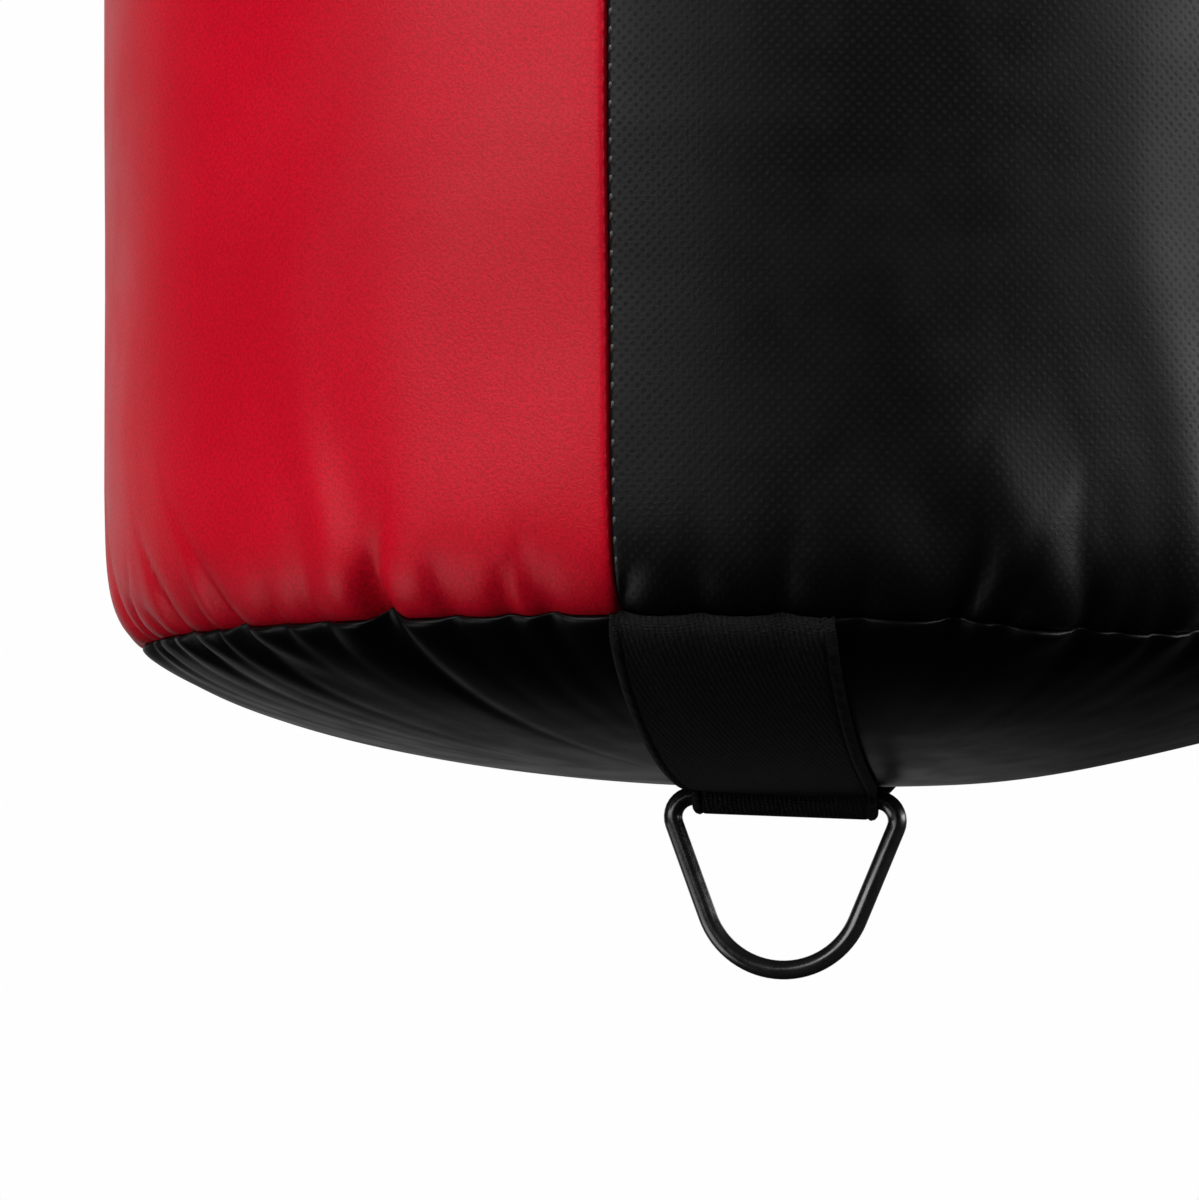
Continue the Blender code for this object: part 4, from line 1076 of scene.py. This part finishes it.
def hanging_strap(number):
    """Doubled webbing sewn to the side and looped round a hanging ring's bar."""
    line, bar, lean = strap_run(number)
    across = strap_columns(WEBBING_WIDTH / 2)
    profile = strap_section(across, WEBBING_WIDTH / 2)
    offset = WEBBING_THICKNESS * 1.05
    outer, inner = [], []
    for i, point in enumerate(line):
        step = (line[min(i + 1, len(line) - 1)] - line[max(i - 1, 0)]).normalized()
        left = Vector((-step.y, step.x))
        outer.append((point - left * offset, -left))
        inner.append((point + left * 0.1 * offset, left))
    facing = math.degrees(math.atan2(lean.y, lean.x))
    loop = []
    for x, z in arc(bar, RING_WIRE + LOOP_THICKNESS, facing - 150, facing + 150, 24):
        loop.append((Vector((x, z)), (Vector((x, z)) - bar).normalized()))
    free = [pair for pair in reversed(inner) if pair[0].y > TOP_Z - 0.02]
    path = outer + loop + free
    rows = []
    for point, normal in path:
        radius = point.x + normal.x * profile
        rows.append(strap_place(number, across, radius, point.y + normal.y * profile))
    node = f"hanging_strap_{STRAP_NAMES[number]}"
    strap = webbing_piece(node + "_webbing", rows, across)
    dress(strap, "black_webbing", "bag", stands_for=[node])


def add_stitch(shape, start, end, outwards):
    """One stitch of thread as a bead that dips in at both ends."""
    axis = (end - start).normalized()
    side = axis.cross(outwards).normalized()
    rings = []
    for share, size, rise in BEAD:
        centre = start.lerp(end, share) + outwards * THREAD * rise
        ring = []
        for i in range(BEAD_SIDES):
            angle = math.radians(360 / BEAD_SIDES * i)
            around = side * math.cos(angle) + outwards * math.sin(angle)
            ring.append(shape.verts.new(centre + around * THREAD * size))
        rings.append(ring)
    for low, high in zip(rings, rings[1:]):
        for i in range(BEAD_SIDES):
            following = (i + 1) % BEAD_SIDES
            shape.faces.new([low[i], low[following], high[following], high[i]])


def seam_stitching(node, seams):
    """Short stitches of thread on a panel, beside the seams at its two edges; their lighter grey is
    partly painted highlight.
    """
    shape = bmesh.new()
    for seam in seams.transpose(1, 0, 2):
        spots = [Vector(p) for p in seam]
        for start, end in zip(spots, spots[1:]):
            outwards = Vector((start.x, start.y, 0)).normalized()
            add_stitch(shape, start.lerp(end, 0.22), start.lerp(end, 0.78), outwards)
    stitching = bmesh_object(node + "_stitching", shape)
    dress(stitching, "seam_thread_with_painted_highlight", "bag", [node])


def strap_stitching(number):
    """Two crossed boxes of stitches that hold a strap to the side."""
    line = strap_run(number)[0]
    face = line[0].x + WEBBING_THICKNESS * 1.05
    half = WEBBING_WIDTH / 2 - BOX_STITCH_MARGIN
    bottom = TOP_Z - STRAP_SEWN_LENGTH + 0.005
    seams = []
    for low in (bottom, bottom + BOX_STITCH_PITCH):
        high = low + BOX_STITCH_HEIGHT
        corners = [(-half, low), (half, low), (half, high), (-half, high)]
        seams += list(zip(corners, corners[1:] + corners[:1]))
        seams += [(corners[0], corners[2]), (corners[1], corners[3])]
    azimuth = math.radians(STRAP_AZIMUTHS_DEG[number])
    outwards = Vector((math.cos(azimuth), math.sin(azimuth), 0))
    shape = bmesh.new()
    for (x0, z0), (x1, z1) in seams:
        count = round(math.hypot(x1 - x0, z1 - z0) / STITCH)
        share = np.linspace(0, 1, count + 1)
        across, z = x0 + (x1 - x0) * share, z0 + (z1 - z0) * share
        spots = [Vector(p) for p in strap_place(number, across, face + 0 * across, z)]
        for start, end in zip(spots, spots[1:]):
            add_stitch(shape, start, end, outwards)
    node = f"hanging_strap_{STRAP_NAMES[number]}"
    stitching = bmesh_object(node + "_stitching", shape)
    dress(stitching, "thread", "bag", [node])


# ---- Camera, lights and floor ----
CAMERA_DISTANCE = 1.1
CAMERA_AZIMUTH = math.radians(4.9)
CAMERA_BELOW_SEAM = 0.070
CAMERA_PITCH = math.radians(4.3)
CAMERA_YAW = math.radians(2.55)
CAMERA_LENS = 125.07
BACKDROP = 0.99
AMBIENT = 0.008
# Brightness, then where it rises and falls by side and by tilt, in degrees. Side 0 is the front and
# grows towards +X; tilt is upwards.
STUDIO = (
    (3.4, (-68, -52, -18, -4), (-3, 9, 90, 91)),
    (1.6, (-104, -88, -50, -36), (-50, -36, -22, -8)),
    (6.0, (44, 84, 100, 130), (-2, 9, 90, 91)),
    (0.08, (118, 135, 181, 182), (-36, -7, 0, 12)),
    (0.8, (118, 135, 181, 182), (0, 12, 90, 91)),
    (0.5, (-182, -181, -135, -118), (-30, -2, 90, 91)),
    (4.5, (-182, -181, 181, 182), (48, 64, 90, 91)),
)
FLOOR_DROP = 0.50
FLOOR_RADIUS = 2.6


def make_camera():
    data = bpy.data.cameras.new("camera")
    data.lens = CAMERA_LENS
    data.sensor_width = 36
    camera = link(bpy.data.objects.new("camera", data))
    camera.location = (CAMERA_DISTANCE * math.sin(CAMERA_AZIMUTH),
                       -CAMERA_DISTANCE * math.cos(CAMERA_AZIMUTH),
                       BOTTOM_SEAM_Z - CAMERA_BELOW_SEAM)
    heading = math.pi / 2 + CAMERA_AZIMUTH + CAMERA_YAW
    forward = Vector((math.cos(heading) * math.cos(CAMERA_PITCH),
                      math.sin(heading) * math.cos(CAMERA_PITCH), math.sin(CAMERA_PITCH)))
    camera.rotation_euler = forward.to_track_quat("-Z", "Y").to_euler()
    bpy.context.scene.camera = camera


def make_world():
    """A studio by direction. The camera sees plain white; the bag sees its lamps and dark gaps."""
    world = bpy.data.worlds.new("studio")
    bpy.context.scene.world = world
    world.use_nodes = True
    n = Nodes(world.node_tree)
    n.tree.nodes.clear()
    direction = n.new("ShaderNodeTexCoord").outputs["Generated"]
    split = n.new("ShaderNodeSeparateXYZ")
    n.link(direction, split.inputs[0])
    x, y, z = split.outputs
    side = n.math("DEGREES", n.math("ARCTAN2", x, n.math("MULTIPLY", y, -1.0)))
    tilt = n.math("DEGREES", n.math("ARCSINE", z))
    total = AMBIENT
    for level, sides, tilts in STUDIO:
        part = n.math("MULTIPLY", n.window(side, *sides), n.window(tilt, *tilts))
        total = n.math("ADD", total, n.math("MULTIPLY", part, level))
    lit = n.new("ShaderNodeBackground")
    n.link(total, lit.inputs["Strength"])
    seen = n.new("ShaderNodeBackground")
    seen.inputs["Color"].default_value = (BACKDROP, BACKDROP, BACKDROP, 1)
    choose = n.new("ShaderNodeMixShader")
    n.link(n.new("ShaderNodeLightPath").outputs["Is Camera Ray"], choose.inputs[0])
    n.link(lit.outputs[0], choose.inputs[1])
    n.link(seen.outputs[0], choose.inputs[2])
    n.link(choose.outputs[0], n.new("ShaderNodeOutputWorld").inputs[0])


def make_floor():
    shape = bmesh.new()
    bmesh.ops.create_circle(shape, cap_ends=True, segments=96, radius=FLOOR_RADIUS)
    floor = bmesh_object("floor", shape)
    floor.location = (0, 0, CAD_BOX[0].z - FLOOR_DROP)
    n = Finish("floor")
    pale = n.mix(n.noise(n.position(), 6, 3), (0.80, 0.80, 0.80, 1), (0.84, 0.84, 0.84, 1))
    floor.data.materials.append(n.surface(colour=pale, rough=0.8))
    floor.visible_glossy = False
    floor.visible_diffuse = False


def make_studio():
    scene = bpy.context.scene
    scene.view_settings.view_transform = "Standard"
    scene.view_settings.look = "None"
    make_camera()
    make_world()
    make_floor()


# ---- Put the object together ----
def build_bag():
    names = (("black_panel_front", "black_vinyl"), ("red_panel_right", "red_vinyl"),
             ("black_panel_rear", "black_vinyl"), ("red_panel_left", "red_vinyl"))
    for number, (node, finish) in enumerate(names):
        panel, seams = side_panel(node + "_skin", number)
        dress(panel, finish, "bag", stands_for=[node])
        if finish == "black_vinyl":
            seam_stitching(node, seams)
    bottom = bottom_panel()
    dress(bottom, "bottom_vinyl", "bag", ["bottom_panel"])
    strap = bottom_strap()
    dress(strap, "black_webbing", "bag", stands_for=["bottom_strap"])
    upright = axes_matrix((0, 0, RING_TOP - RING_WIRE), (1, 0, 0), (0, 0, 1))
    ring = wire("bottom_ring_wire", triangle_ring_points(), RING_WIRE,
                upright @ Matrix.Rotation(-RING_TILT, 4, "Z"), resolution=8)
    dress(ring, "black_steel", "bottom_ring", stands_for=["bottom_ring"])


def build_top():
    for node, side in (("top_panel_front", -1), ("top_panel_rear", 1)):
        panel = top_panel(node + "_skin", side)
        dress(panel, "black_vinyl", "bag", stands_for=[node])
    tape = zip_tape()
    add_teeth(tape)
    dress(tape, "black_zip", "bag", stands_for=["zip_track"])
    for number in range(len(STRAP_NAMES)):
        hanging_strap(number)
        strap_stitching(number)
        chain_leg(number)
    master = wire("master_ring_wire", arc((0, 0), MASTER_RADIUS, 0, 356.25, 95), MASTER_WIRE,
                  axes_matrix((0, 0, MASTER_Z), (1, 0, 0), (0, 0, 1)))
    dress(master, "zinc_steel", "bag", stands_for=["master_ring"])


def dress_cad_nodes():
    """Materials and eased edges for the CAD nodes; the hidden ones among them are never seen."""
    slots = {part["node"]: part["material_slot"] for part in frame["record"]["subparts"]}
    for name, obj in frame["nodes"].items():
        obj.data.materials.clear()
        obj.data.materials.append(MATERIALS[slots[name]])
        obj.data.shade_smooth()
        obj.data.set_sharp_from_angle(angle=SHARP_EDGE)
        if slots[name] in ("zinc_steel", "black_steel"):
            weld = obj.modifiers.new("weld", "WELD")
            weld.merge_threshold = 1e-5
            eased = obj.modifiers.new("eased", "BEVEL")
            eased.width = EASED_EDGE
            eased.segments = 2
            eased.limit_method = "ANGLE"
            eased.angle_limit = SHARP_EDGE
            flat = obj.modifiers.new("flat faces", "WEIGHTED_NORMAL")
            flat.keep_sharp = True


make_studio()
build_bag()
build_top()
dress_cad_nodes()
